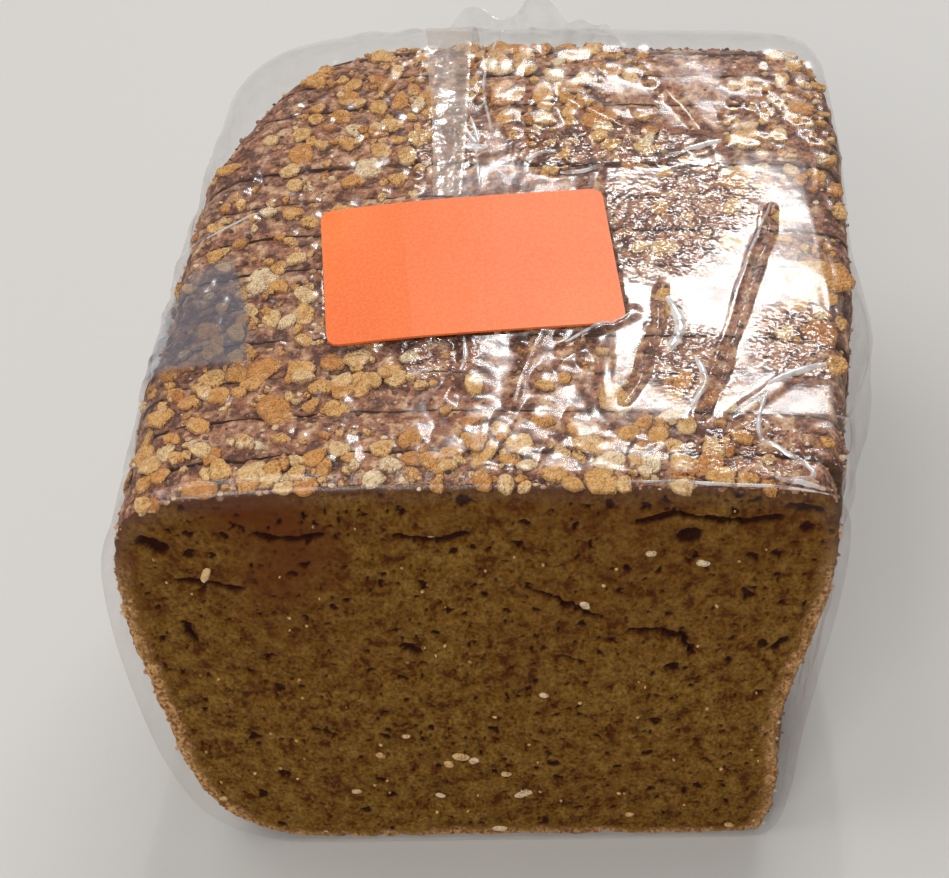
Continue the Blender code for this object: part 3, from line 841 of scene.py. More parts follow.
flakes = {
    "placed": [  # x, y, half length, turned by, kind: 0 toasted, 1 golden, 2 pale
        (-55.9, -7.8, 1.1, 90, 2), (-53.9, -4.8, 1.4, 90, 0), (48.3, -4.1, 1.6, 0, 0),
        (-55.6, -0.1, 1.8, 90, 1), (-46.4, -1.2, 3.5, 0, 0), (-38.8, 3.1, 2.4, 0, 1),
        (-34.2, 3.5, 2.1, 90, 2), (-31.6, 0.2, 1.7, 0, 1), (-28.2, 2.2, 2.3, 90, 0),
        (-6.2, 1.2, 1.3, 90, 1), (1.2, 2.4, 2.1, 0, 0), (5.1, 1.7, 1.8, 90, 2), (8.2, 1, 1.3, 90, 1),
        (16.1, 1, 1.9, 0, 1), (20.8, 2.1, 3.4, 90, 1), (25, 2.2, 1.8, 90, 2), (34, -0.7, 2, 90, 2),
        (53.4, 4, 1, 90, 0), (-53.1, 7.6, 2.1, 90, 0), (-44.8, 6, 1.9, 0, 1), (-31.8, 9.3, 1.4, 90, 2),
        (-25.2, 5.9, 1.7, 0, 1), (-22.9, 9.9, 2.1, 0, 2), (-21.3, 4.9, 1.1, 0, 2),
        (-15.5, 9.9, 2.1, 90, 2), (-13.9, 6, 2.1, 90, 2), (-10.9, 11.9, 2.3, 0, 0),
        (-10.6, 7.5, 1.9, 90, 0), (-4.4, 9, 2.4, 90, 1), (1.1, 8.2, 2.7, 0, 1), (5.7, 8, 2.1, 90, 1),
        (7.3, 11, 3, 90, 2), (8.7, 6.1, 1.8, 90, 2), (10.5, 9.4, 1.5, 0, 2), (12.9, 4.7, 2.7, 0, 1),
        (14.3, 8.6, 1.6, 90, 1), (18.9, 10.6, 2.7, 90, 1), (22.5, 9.3, 1.9, 90, 0),
        (33.6, 4.2, 1.3, 90, 0), (34.6, 7, 2.4, 90, 1), (39.5, 9.6, 2.1, 90, 2), (48.6, 8.4, 1.3, 90, 2),
        (-52.5, 15.3, 1.7, 0, 1), (-36.8, 12, 1.2, 90, 2), (-5.3, 18.1, 1.4, 90, 1),
        (-0.2, 15.4, 2.5, 90, 0), (10.9, 15.9, 2.2, 90, 1), (24.9, 19.5, 1.9, 0, 1),
        (29.5, 18.7, 2.3, 0, 2), (58.7, 12.9, 1.6, 90, 0), (-54.7, 21.4, 3, 90, 1),
        (-50.6, 23.8, 2, 0, 0), (-41.6, 24.8, 1.4, 0, 1), (-34.6, 20.1, 3.7, 90, 1),
        (-28.4, 20.4, 1.7, 90, 1), (-27.2, 24.6, 2.2, 0, 1), (-26.1, 24, 1.7, 0, 1),
        (-20.9, 24.1, 2.9, 0, 1), (-14, 25.6, 2, 90, 1), (-0.6, 23.9, 2.2, 90, 1),
        (24.1, 21.7, 3.5, 90, 1), (40.1, 21.6, 1.7, 90, 0), (42.5, 20.4, 2, 90, 2),
        (-47.2, 35.2, 2.6, 0, 1), (-46.9, 28.9, 2.8, 90, 1), (-37.1, 29.4, 3.4, 90, 1),
        (-31.2, 29.8, 2.8, 90, 1), (-25.8, 30.8, 2.7, 0, 0), (-21.1, 31.2, 2.6, 90, 1),
        (61.5, 31.8, 2.8, 90, 1), (-40.9, 42.5, 1.2, 0, 1), (-32.3, 39.3, 1.1, 90, 1),
        (-31.5, 42.9, 2.3, 0, 2), (34.1, 42.6, 1.6, 90, 1), (53.7, 38.1, 2.1, 90, 2),
        (60, 38.5, 3.2, 90, 0), (-43.6, 50, 1.5, 90, 1), (-41.1, 45.4, 1.7, 90, 1),
        (-38.3, 44.6, 1.3, 90, 1), (-36.8, 51.1, 2.3, 90, 1), (-32.2, 48, 2.4, 0, 2),
        (33.4, 47, 2.2, 0, 1), (60.2, 49.6, 2.2, 90, 2), (-40.4, 53.5, 3.3, 90, 2),
        (-39.5, 58, 1.4, 0, 0), (-34.5, 58.8, 2.3, 0, 2), (59.9, 55.4, 3.6, 90, 2),
        (63, 54.1, 1.8, 90, 0), (63.5, 52.7, 4.5, 90, 0), (-45.5, 64.7, 1.6, 0, 1),
        (-45.4, 65.2, 1.7, 0, 1), (-38, 64.5, 1.5, 90, 0), (-35.8, 63.6, 1.2, 90, 1),
        (26.2, 63.6, 2, 90, 0), (28.7, 60.1, 2, 0, 2), (59, 67.7, 1.2, 90, 1), (-49.1, 75.7, 1.5, 90, 0),
        (-43.8, 71.4, 1.3, 90, 1), (-40.6, 72.3, 1.7, 90, 2), (-32.4, 68.4, 1.7, 0, 1),
        (-31.9, 72.3, 1.1, 90, 1), (-26.4, 70.8, 2.3, 0, 1), (-19.1, 73.7, 1.1, 90, 2),
        (-15.8, 74.2, 1.1, 90, 2), (-13.2, 74.6, 1.3, 90, 2), (49, 75.7, 1.6, 0, 1),
        (49.9, 70.5, 1, 90, 2), (53.6, 73.9, 1.4, 0, 2), (54.5, 69.9, 0.9, 0, 0), (56.7, 68.8, 2.4, 0, 1),
        (56.8, 69, 1.7, 0, 1), (66.6, 72, 1.9, 90, 1), (-25, 79.2, 2.3, 0, 1), (-23.2, 82.9, 3.8, 0, 2),
        (-16.1, 79, 1.8, 0, 1), (27.6, 83.3, 1.6, 0, 0), (51.5, 81.7, 1.1, 90, 1),
        (53.2, 82.9, 1.6, 0, 2), (60.3, 79.6, 1.6, 0, 0), (62.7, 77.1, 1.1, 0, 1),
        (66.2, 78.1, 2.1, 90, 1), (-35.6, 87.7, 3.1, 0, 0), (-19.8, 87.4, 2.3, 0, 1),
        (-16.9, 90.9, 1.9, 0, 1), (-14.7, 85.6, 2.5, 90, 1), (5.7, 91.5, 1.3, 90, 1),
        (24.8, 88.5, 2.1, 0, 1), (25.2, 87.9, 1.9, 90, 1), (31, 87.8, 2.3, 0, 2), (31.6, 89.5, 1.8, 0, 2),
        (33.1, 87.5, 1.3, 90, 2), (49.9, 88.5, 1.1, 90, 2), (52.3, 88.4, 1.1, 90, 1),
        (53.5, 86.2, 1.5, 0, 1), (54.1, 90.8, 1.3, 90, 1), (57.1, 91.9, 1.7, 90, 2),
        (64.9, 86, 1.6, 90, 2), (66.4, 85.5, 1.4, 90, 1), (-42.2, 94.4, 1.6, 90, 2),
        (-21.1, 92.7, 1.8, 90, 0), (-18.2, 95.7, 2.3, 90, 1), (-3.3, 92.5, 1.3, 90, 2),
        (4, 97.2, 2.2, 0, 1), (10.2, 94.3, 1.3, 90, 1), (11.5, 96.2, 2.4, 90, 1), (22.8, 94.1, 2.5, 0, 2),
        (46.4, 93, 1.2, 0, 1), (47.4, 95.9, 1.1, 90, 1), (48.9, 93.3, 1.1, 90, 1),
        (49.3, 96.3, 1.1, 90, 1), (51.8, 92.2, 2, 90, 1), (52.6, 100, 1.1, 90, 1),
        (54.5, 96.8, 1.1, 90, 1), (60.8, 97.8, 1.9, 90, 1), (63.4, 95.9, 1.1, 90, 2),
        (65.9, 97.1, 1.1, 90, 1), (-25.5, 103.4, 1.8, 0, 1), (-21.2, 101.8, 2.6, 90, 1),
        (-16.8, 103.2, 2.4, 90, 1), (-13.3, 100.8, 1.9, 90, 2), (-3.3, 103.9, 1.4, 0, 2),
        (3.3, 106.7, 2.4, 0, 1), (5.6, 104.4, 1.8, 0, 1), (11.5, 106.7, 1.8, 0, 1),
        (14.8, 106, 1.5, 0, 1), (18.1, 106.9, 1.7, 0, 1), (19.1, 103.6, 1.4, 0, 1),
        (21.9, 100.3, 1.8, 90, 0), (57.9, 101.9, 1.5, 0, 2), (59.6, 105.4, 1, 0, 1),
        (60, 107.6, 1.2, 90, 1), (63.7, 105.1, 1.5, 90, 0), (63.9, 101.1, 1.1, 90, 1),
        (-26.9, 109.3, 2.4, 0, 1), (-20.2, 108.7, 2.1, 0, 0), (-3.5, 114.7, 1.5, 0, 0),
        (-3, 108.1, 1.4, 90, 1), (-1.2, 115.1, 1.2, 90, 1), (7.9, 112.9, 2.4, 90, 1),
        (18.9, 111.7, 2.1, 90, 1), (25.2, 112.4, 2.1, 0, 1), (29.1, 110.5, 2.1, 90, 1),
        (-21.4, 118.7, 2.8, 0, 1), (-14.5, 121.7, 1.5, 90, 1), (-3.4, 121.9, 1.9, 90, 0),
        (11.6, 121.5, 1.9, 90, 0), (21, 121.5, 2.6, 0, 1), (27.7, 121, 1.9, 90, 2),
    ],
    "groups": [  # smaller ones between them: x, y, half width, half depth, count
        (-10, 8, 42, 6, 66), (-36, 28, 18, 9, 36), (-24, 98, 14, 20, 60), (-42, 60, 9, 22, 24),
        (14, 111, 19, 11, 44), (22, 91, 13, 11, 26), (57, 94, 11, 20, 44), (60, 50, 5, 16, 18),
        (29, 20, 7, 6, 12), (39, 10, 8, 7, 12), (-53, 78, 6, 28, 16), (-54, 22, 6, 16, 22),
        (2, 29, 22, 6, 14), (42, 72, 9, 20, 12), (-28, 53, 18, 14, 14),
        (0, 124, 28, 6, 18), (63, 112, 5, 12, 12), (-60, 50, 3, 40, 12),
    ],
    # share of the counts, least and largest half length, crowding
    "sizes": ((0.36, 1.7, 2.9, 0.48), (0.85, 0.5, 1.5, 0.54)),
    "wide": (0.68, 0.90), "thick": (0.40, 0.72), "placedThick": (0.48, 0.75), "variants": 7,
    "tones": ((0.14, 0.14), (0.52, 0.16), (0.84, 0.12)),
}


def flakeVariant(index, segments, rings, broken):
    # a rolled oat: a flattened oval with a crease along it, an uneven rim, and one side broken off or not
    draw = random.Random(70 + index)
    deselect()
    bpy.ops.mesh.primitive_uv_sphere_add(segments=segments, ring_count=rings, radius=1.0)
    piece = bpy.context.object
    piece.name = f"flakeForm{index}"
    wave = draw.uniform(0, 6)
    slant = draw.uniform(-0.5, 0.5)
    rimShades = []
    creaseShadeMask = []
    for vert in piece.data.vertices:
        x, y, z = vert.co
        angle = math.atan2(y, x)
        flat = math.hypot(x, y)
        # rim mask: 1 in the middle of the top, 0 at the rim and underneath, where the oats paint shade
        rimShades.append(min(1.0, 2.0 * (1 - flat)) if z > 0 else 0.0)
        groove = math.exp(-((y - 0.06) / 0.13) ** 2) * (1 - 0.4 * abs(x)) if z > 0 else 0.0
        second = math.exp(-((y + 0.42) / 0.10) ** 2) * 0.5 if z > 0 else 0.0
        # crease mask, read by the oats as painted shade in the groove
        creaseShadeMask.append(groove)
        square = (abs(math.cos(angle)) ** 2.3 + abs(math.sin(angle)) ** 2.3) ** (-1 / 2.3)
        uneven = square * (1 + 0.07 * math.sin(3 * angle + wave) + 0.05 * math.sin(5 * angle + 2 * wave))
        uneven *= 1 + 0.22 * noise.noise(Vector((math.cos(angle) * 3, math.sin(angle) * 3, index * 2.0)))
        rise = math.copysign(abs(z) ** 0.6, z)
        rise += 0.50 * noise.noise(Vector((x * 2.1, y * 2.1, index * 5.0))) - 0.26 * groove - 0.14 * second
        rise += 0.30 * noise.noise(Vector((x * 4.0, y * 4.0, index * 7.0)))
        x *= uneven
        y *= uneven * (1 - 0.16 * x)
        if broken:
            x = min(x, 0.35 + slant * y + draw.uniform(-0.05, 0.05))
        vert.co = (x, y, rise + 0.18 * x * x)
    newAttribute(piece, "rim", rimShades)
    newAttribute(piece, "crease", creaseShadeMask)
    return piece


def surfaceTree(pieces):
    points = []
    faces = []
    for piece in pieces:
        start = len(points)
        points += [fromFrame(v.co) for v in piece.data.vertices]
        faces += [[start + i for i in polygon.vertices] for polygon in piece.data.polygons]
    return BVHTree.FromPolygons(points, faces)


loafTree = surfaceTree([frontSlice, backSlices])


def layFlake(form, x, y, size, wide, thick, turn, tone, draw, laid):
    # drop one flake on the crust, a little higher where it lies over others
    spot, normal, _face, _far = loafTree.ray_cast(Vector((x, y, 200)), Vector((0, 0, -1)))
    if spot is None or normal.z < 0.15:
        return None
    steep = normal.z < 0.6
    normal = normal if steep else (normal + Vector((0, 0, 1.6))).normalized()
    under = sum(1 for a, b, c in laid if (x - a) ** 2 + (y - b) ** 2 < (0.62 * (size + c)) ** 2)
    slope = 0.5 / size
    nod = Matrix.Rotation(draw.uniform(-slope, slope), 4, "X")
    lean = nod @ Matrix.Rotation(draw.uniform(-slope, slope), 4, "Y")
    spin = Matrix.Rotation(turn, 4, "Z")
    stand = normal.to_track_quat("Z", "Y").to_matrix().to_4x4()
    scaled = Matrix.Diagonal((size * 0.001, wide * 0.001, thick * 0.001, 1.0))
    rest = thick * 0.30 + min(under, 1) * 0.35
    lifted = Matrix.Translation(toFrame(*(spot + normal * rest)))
    copy = copyForm(form, lifted @ stand @ spin @ lean @ scaled)
    evenAttribute(copy, "tone", tone)
    laid.append((x, y, size))
    return copy


def scatterFlakes():
    draw = random.Random(23)
    forms = [flakeVariant(i, 14, 8, i > 4) for i in range(flakes["variants"])]
    smallForms = [flakeVariant(20 + i, 10, 6, i > 3) for i in range(flakes["variants"])]
    laid = []
    copies = []
    for x, y, size, turned, kind in flakes["placed"]:
        mean, spread = flakes["tones"][kind]
        tone = clamp(draw.gauss(mean, spread))
        size *= 1.06
        turn = math.radians(turned + draw.uniform(-28, 28))
        form = draw.choice(forms)
        wide = size * draw.uniform(*flakes["wide"])
        thick = draw.uniform(*flakes["placedThick"])
        copies.append(layFlake(form, x, max(y, 1.0 + size * 0.45), size, wide, thick, turn, tone, draw, laid))
    wanted = [(group, size) for size in flakes["sizes"] for group in flakes["groups"]]
    for (gx, gy, halfWide, halfDeep, count), (share, low, high, crowd) in wanted:
        done = 0
        for _ in range(int(count * share) * 12):
            if done >= count * share:
                break
            x = gx + draw.uniform(-1, 1) * halfWide
            y = gy + draw.uniform(-1, 1) * halfDeep
            size = low + (high - low) * draw.random() ** 1.3
            if y < 1.4 + size * 0.4:
                continue
            if any((x - a) ** 2 + (y - b) ** 2 < (crowd * (size + c)) ** 2 for a, b, c in laid):
                continue
            tone = clamp(draw.gauss(0.50, 0.24))
            form = draw.choice(forms if low > 1 else smallForms)
            wide = size * draw.uniform(*flakes["wide"])
            thick = min(draw.uniform(*flakes["thick"]), size * 0.6)
            copy = layFlake(form, x, y, size, wide, thick, draw.uniform(0, 6.28), tone, draw, laid)
            if copy:
                copies.append(copy)
                done += 1
    removeForms(forms + smallForms)
    piece = joinAll("oatFlakes", [copy for copy in copies if copy])
    dress(piece, oats)
    smooth(piece, 45)
    print("flakes", len(laid), "faces", len(piece.data.polygons))
    return piece, laid


oatFlakes, laidFlakes = scatterFlakes()
keepInside(oatFlakes)


crumbs = {"count": 3600, "sideCount": 700, "size": (0.22, 0.80)}


def scatterCrumbs():
    # loose crumbs of crust, strewn over the crown with more along its front edge, and some on the sides near
    # the cut
    draw = random.Random(47)
    forms = []
    for index in range(4):
        deselect()
        bpy.ops.mesh.primitive_ico_sphere_add(subdivisions=1, radius=1.0)
        form = bpy.context.object
        for vert in form.data.vertices:
            vert.co *= draw.uniform(0.65, 1.25)
        forms.append(form)
    copies = []
    while len(copies) < crumbs["count"] + crumbs["sideCount"]:
        low, high = crumbs["size"]
        size = low + (high - low) * draw.random() ** 2.2
        if len(copies) < crumbs["count"]:
            x = draw.uniform(-64, 69)
            y = draw.uniform(2, 132) if draw.random() > 0.10 else draw.uniform(1.2, 4.0)
            spot, normal, _face, _far = loafTree.ray_cast(Vector((x, y, 200)), Vector((0, 0, -1)))
            if spot is None or normal.z < 0.2:
                continue
            tone = draw.gauss(0.50, 0.28)
        else:
            way = draw.choice((-1, 1))
            y = 1.6 + 60 * draw.random() ** 2
            outside = Vector((-90 * way, y, draw.uniform(2, 100)))
            spot, normal, _face, _far = loafTree.ray_cast(outside, Vector((way, 0, 0)))
            if spot is None:
                continue
            size *= draw.uniform(0.5, 1.2)
            tone = draw.gauss(0.66, 0.24)
        form = draw.choice(forms)
        spin = Matrix.Rotation(draw.uniform(0, 6.28), 4, "Z") @ Matrix.Rotation(draw.uniform(0, 6.28), 4, "X")
        scaled = Matrix.Diagonal((size * 0.001, size * 0.0008, size * 0.0006, 1.0))
        copy = copyForm(form, Matrix.Translation(toFrame(*(spot + normal * size * 0.2))) @ scaled @ spin)
        evenAttribute(copy, "tone", clamp(tone))
        copies.append(copy)
    removeForms(forms)
    piece = joinAll("looseCrumbs", copies)
    dress(piece, looseCrumbs)
    smooth(piece, 30)
    return piece


looseBits = scatterCrumbs()
keepInside(looseBits)
print("crumbs scattered")


grains = {
    "pale": [  # pale grains in the cut face: x, z, half length, half width, turned by
        (-8.5, 96, 1.2, 0.8, 40), (-48, 88, 2.6, 0.8, 110), (37.8, 88, 1.4, 0.9, 20),
        (17.5, 77, 1.6, 1.0, 70), (29, 91, 1.1, 0.8, 0), (9.3, 50, 1.1, 0.8, 30),
        (-17.5, 37, 1.0, 0.8, 0), (-23, 31, 1.2, 0.9, 60), (-7.5, 30, 1.9, 1.3, 20),
        (-10, 27.5, 1.5, 1.0, 80), (-5, 28.5, 1.3, 1.0, 140), (-29, 18, 1.2, 0.9, 0),
        (-12.5, 16, 1.3, 0.9, 50), (1, 23.5, 1.2, 0.9, 10), (4, 16, 2.6, 1.5, 160),
        (-1.3, 3.5, 1.8, 0.9, 0), (45, 3.8, 1.2, 0.8, 30), (25, 8, 1.0, 0.8, 0), (-37, 3.4, 1.4, 0.8, 10),
        (-56, 16, 1.0, 0.8, 0),
    ],
    "bits": 70,
    "bitSize": (0.22, 0.5),
    "thick": 0.35,
}


def makeGrains():
    draw = random.Random(11)
    deselect()
    bpy.ops.mesh.primitive_uv_sphere_add(segments=8, ring_count=5, radius=1.0)
    form = bpy.context.object
    for vert in form.data.vertices:
        vert.co *= draw.uniform(0.88, 1.1)
    copies = []
    wanted = [(x, z, a, b, math.radians(t), 0.72 + 0.28 * draw.random()) for x, z, a, b, t in grains["pale"]]
    for _ in range(grains["bits"]):
        size = draw.uniform(*grains["bitSize"])
        wanted.append((draw.uniform(-58, 54), draw.uniform(3, 103), size, size * draw.uniform(0.5, 0.9),
                       draw.uniform(0, 6), draw.uniform(0.5, 0.8)))
    for x, z, a, b, angle, tone in wanted:
        spot, normal, _face, _far = loafTree.ray_cast(Vector((x, -20, z)), Vector((0, 1, 0)))
        if spot is None or spot.y > 4:
            continue
        spot.y = max(spot.y, 0.75)
        turn = Matrix.Rotation(angle, 4, "Y")
        scaled = Matrix.Diagonal((a * 0.001, grains["thick"] * 0.001, b * 0.001, 1.0))
        copy = copyForm(form, Matrix.Translation(toFrame(*spot)) @ turn @ scaled)
        for name, value in (("tone", tone), ("rim", 0.5), ("crease", 0.0)):
            evenAttribute(copy, name, value)
        copies.append(copy)
    removeForms([form])
    piece = joinAll("crumbGrains", copies)
    dress(piece, oats)
    smooth(piece, 80)
    return piece


crumbGrains = makeGrains()
print("grains set")


film = {
    "columns": 440, "topShare": 4.0,
    "frontRows": 12, "bodyRows": 180, "endRows": 20,
    "between": 0.85, "over": 1.30, "reach": 1.4, "frontY": 0.12, "taut": 1.75,
    "valleys": [  # x, y pairs over the crown, half width, height (minus is a valley)
        ([(54.0, 68), (50.1, 52.8), (46.2, 40.4), (41.8, 25.2), (37.8, 15.6)], 0.68, -1.6),
        ([(52.4, 68), (48.4, 53.4), (44.7, 40.8), (40.4, 25.6), (36.4, 15.0)], 0.5, 0.3),
        ([(32.4, 46), (31.0, 37.2), (28.1, 24.9), (25.0, 19.1)], 0.75, -1.5),
        ([(-56, 62), (-40, 72), (-26, 82)], 1.4, 0.6),
        ([(-37, 103), (-46, 76)], 1.3, 0.5),
        ([(-60, 50), (-46, 44), (-30, 46)], 1.1, 0.4),
        ([(16, 100), (28, 92), (44, 88)], 1.4, 0.5),
        ([(36, 104), (43, 89), (46, 78)], 1.3, 0.5),
        ([(14, 79), (24, 81), (34, 82), (46, 88)], 0.9, 0.8),
        ([(15, 31), (21, 36), (27, 40)], 0.9, 0.9),
        ([(12, 38), (8, 27), (6, 18)], 1.0, 0.5),
        ([(-8, 35), (-11, 29), (-16, 22)], 1.1, 0.5),
        ([(-2.5, 35), (-2, 27), (-6, 18)], 0.9, 0.7),
        ([(62, 34), (54, 26), (49, 21), (43, 15)], 1.0, 0.8),
        ([(-50, 20), (-42, 30), (-30, 36)], 1.1, 0.4),
    ],
    "crackle": [  # finely creased places: x, y, half width, half depth
        (31, 62, 11, 11), (41, 70, 8, 8), (56, 33, 7, 7), (24, 86, 14, 6), (37, 28, 6, 7), (33, 33, 3, 9),
        (46, 8, 9, 6), (-8, 88, 6, 8), (-8, 30, 7, 5),
    ],
    # a blue field
    "print": [(-60.0, 31.0), (-61.0, 40.0), (-54.0, 56.0), (-46.0, 58.0), (-41.5, 43.0), (-40.5, 30.0)],
}
flakeFinder = KDTree(len(laidFlakes))
for number, (fx, fy, _size) in enumerate(laidFlakes):
    flakeFinder.insert(Vector((fx, fy, 0)), number)
flakeFinder.balance()
loadedTree = surfaceTree([frontSlice, backSlices, oatFlakes])
stickerTree = surfaceTree([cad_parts["label"]])


def filmLift(x, y):
    # how far the film stands off the crown: pressed up by each flake, sagging between them
    lift = film["between"]
    for _co, number, far in flakeFinder.find_range(Vector((x, y, 0)), 6.0):
        near = ease(1.35 - far / (laidFlakes[number][2] * film["reach"]))
        lift = max(lift, film["between"] + (film["over"] - film["between"]) * near)
    return lift


def tautness(x, y):
    # 1 where the film is pulled flat over the crown's front right
    return ease((x - 15) / 11) * ease((y - 9) / 8) * (1 - ease((y - 80) / 12)) * (1 - ease((x - 60) / 6))


def creasing(x, y):
    return max(ease(1.6 - math.hypot((x - a) / w, (y - b) / d)) for a, b, w, d in film["crackle"])


def polygonDepth(x, y, corners):
    # how deep a place lies inside a convex outline, minus outside
    return min((x - ax) * (by - ay) / length - (y - ay) * (bx - ax) / length
               for (ax, ay), (bx, by) in zip(corners, corners[1:] + corners[:1])
               for length in [math.hypot(bx - ax, by - ay)])


def makeFilm():
    columns = film["columns"]
    front = film["frontRows"]
    body = film["bodyRows"]
    end = film["endRows"]
    outline = smoothOutline(filmShape["outline"], columns, film["topShare"])
    length = filmShape["length"]
    centre = Vector((-2.0, 0.0, 53.0))
    bend = length - filmShape["ends"]["leftLoose"]

    def place(i, j):
        ring = outline[i % columns]
        if j < front:
            k = j / front
            p = sectionPoint(filmShape, ring, 0.0)
            p = centre + (Vector((p.x, 0, p.z)) - centre) * (k ** 0.85) * 0.994
            ripple = noise.noise(Vector((p.x * 0.05, 4, p.z * 0.035)))
            ripple += 0.5 * noise.noise(Vector((p.x * 0.16, 9, p.z * 0.07)))
            return toFrame(p.x, film["frontY"] + 0.22 * max(0.0, ripple) * k * (1 - k) * 4, p.z)
        if j <= front + body:
            t = (j - front) / body
            if t < 0.76:
                y = 0.3 + (bend - 0.3) * t / 0.76
            else:
                y = bend + (length - bend) * math.sin((t - 0.76) / 0.24 * math.pi / 2)
            return toFrame(*sectionPoint(filmShape, ring, y))
        k = 1 - (j - front - body) / end
        p = sectionPoint(filmShape, ring, length)
        middleBack = Vector((4.0, length, 56.0))
        return toFrame(*(middleBack + (p - middleBack) * k))

    piece = shapedGrid("clearBag", columns, front + body + end, place)
    mergeAndFace(piece)
    return piece


def crownLift(p):
    # how far the film stands off at a place on the crown, with its folds and creases
    taut = tautness(p.x, p.y)
    lift = filmLift(p.x, p.y)
    lift += (film["taut"] - lift) * taut
    for points, width, height in film["valleys"]:
        if min(a for a, b in points) - 5 < p.x < max(a for a, b in points) + 5:
            d = segmentDistance(p.x + noise.noise(p * 0.12) * 0.8, p.y, points)
            lift += height * math.exp(-(d / width) ** 2)
    lift += (0.20 - 0.04 * taut) * noise.noise(p * (0.13 - 0.05 * taut) + Vector((3, 1, 0)))
    lift += (0.07 - 0.055 * taut) * noise.noise(p * 0.42 + Vector((8, 2, 5)))
    creased = creasing(p.x, p.y)
    if creased > 0:
        lift += creased * 0.26 * noise.noise(p * 0.34 + Vector((5, 2, 8)))
        lift -= creased * 0.30 * abs(noise.noise(p * 0.62 + Vector((1, 6, 3))))
    return lift, creased


def wrinkleFilm(piece):
    # press the folds and the flakes under it into the film, clear of what it covers
    mesh = piece.data
    normals = [v.normal.copy() for v in mesh.vertices]
    hazeAndSheenValues = []
    clings = []
    cracks = []
    blueFieldShares = []
    for vert, normal in zip(mesh.vertices, normals):
        p = fromFrame(vert.co)
        crown = ease((normal.z - 0.45) / 0.35) * ease(p.y / 3.0)
        side = 1 - ease((abs(normal.z) - 0.3) / 0.4)
        push = 0.0
        creased = 0.0
        clings.append(1.0 if p.y < 0.29 else 0.0)
        if crown > 0:
            lift, creased = crownLift(p)
            push += crown * clamp(lift, -0.9, 2.0)
        if side > 0 and p.y > 0.6:
            hang = noise.noise(Vector((p.x * 0.02, p.y * 0.09, p.z * 0.022)))
            pleat = abs(noise.noise(Vector((p.x * 0.03, p.y * 0.20 + p.z * 0.03, 2.0))))
            facet = noise.voronoi(Vector((p.x * 0.03, p.y * 0.07, p.z * 0.055)))[0][0]
            push -= side * ease(p.y / 6) * (0.3 + 0.9 * hang + 0.7 * pleat + 2.2 * facet)
            creased = max(creased, 0.55 * side * ease(0.5 + 2 * noise.noise(p * 0.06)))
        if p.y > 128 and normal.y > 0.5:
            angle = math.atan2(p.z - 56, p.x - 4)
            reach = math.hypot(p.z - 56, p.x - 4)
            pleats = 0.5 + 0.5 * math.sin(angle * 17 + noise.noise(p * 0.05) * 3)
            push -= 1.1 * ease(reach / 10) * ease((62 - reach) / 30) * pleats
        p += normal * push
        if crown > 0.2:
            top = loadedTree.ray_cast(Vector((p.x, p.y, 200)), Vector((0, 0, -1)))[0]
            if top is not None and p.z < top.z + 0.12 and p.z > 60:
                p.z = top.z + 0.12
            cover = stickerTree.ray_cast(Vector((p.x, p.y, 60)), Vector((0, 0, 1)))[0]
            if cover is not None:
                p.z = min(p.z, cover.z - 0.15)
        near = loafTree.find_nearest(p)
        gap = near[3] if near[3] is not None else 0.0
        # haze: milky where the film stands well off the loaf; over the taut crown a grey painted sheen
        # standing in for the reflected window
        hazeAndSheenValues.append(max(ease((gap - 2.4) / 8.0), 0.45 * crown * tautness(p.x, p.y)) if p.y > 0.5 else 0.0)
        cracks.append(creased)
        # share of the blue field over the crown's left side
        blueFieldShares.append(ease(0.5 + polygonDepth(p.x, p.y, film["print"]) / 1.6) if p.z > 84 else 0.0)
        vert.co = toFrame(*p)
    keepInside(piece)
    for name, values in (("hazeAndSheen", hazeAndSheenValues), ("cling", clings), ("crackle", cracks), ("print", blueFieldShares)):
        newAttribute(piece, name, values)
    mesh.update()


clearBag = makeFilm()
wrinkleFilm(clearBag)
dress(clearBag, clearFilm)
smooth(clearBag, 75)
filmTree = surfaceTree([clearBag])
print("film wrapped", len(clearBag.data.polygons))


seam = {"from": 71.8, "until": 136.0, "left": (-9.2, -13.0), "right": (-3.8, -1.8), "rise": 0.25}


def makeSeam():
    # the flat seam over the crown, two layers of film pressed together
    across = 10
    along = 90

    def place(i, j):
        t = j / along
        u = i / across
        y = seam["from"] + (seam["until"] - seam["from"]) * t
        x0 = seam["left"][0] + (seam["left"][1] - seam["left"][0]) * t
        x1 = seam["right"][0] + (seam["right"][1] - seam["right"][0]) * t * t
        x = x0 + (x1 - x0) * u + 0.4 * math.sin(t * 5)
        spot = filmTree.ray_cast(Vector((x, y, 200)), Vector((0, 0, -1)))[0]
        ridge = 0.35 * math.exp(-((u - 0.93) / 0.05) ** 2) + 0.12 * math.exp(-((u - 0.1) / 0.08) ** 2)
        return toFrame(x, y, spot.z + seam["rise"] + ridge)

    piece = shapedGrid("filmSeam", across, along, place)
    return finishThinFilm(piece, doubleFilm, 0.00012, -1, 0.2, 0.3)


filmSeam = makeSeam()


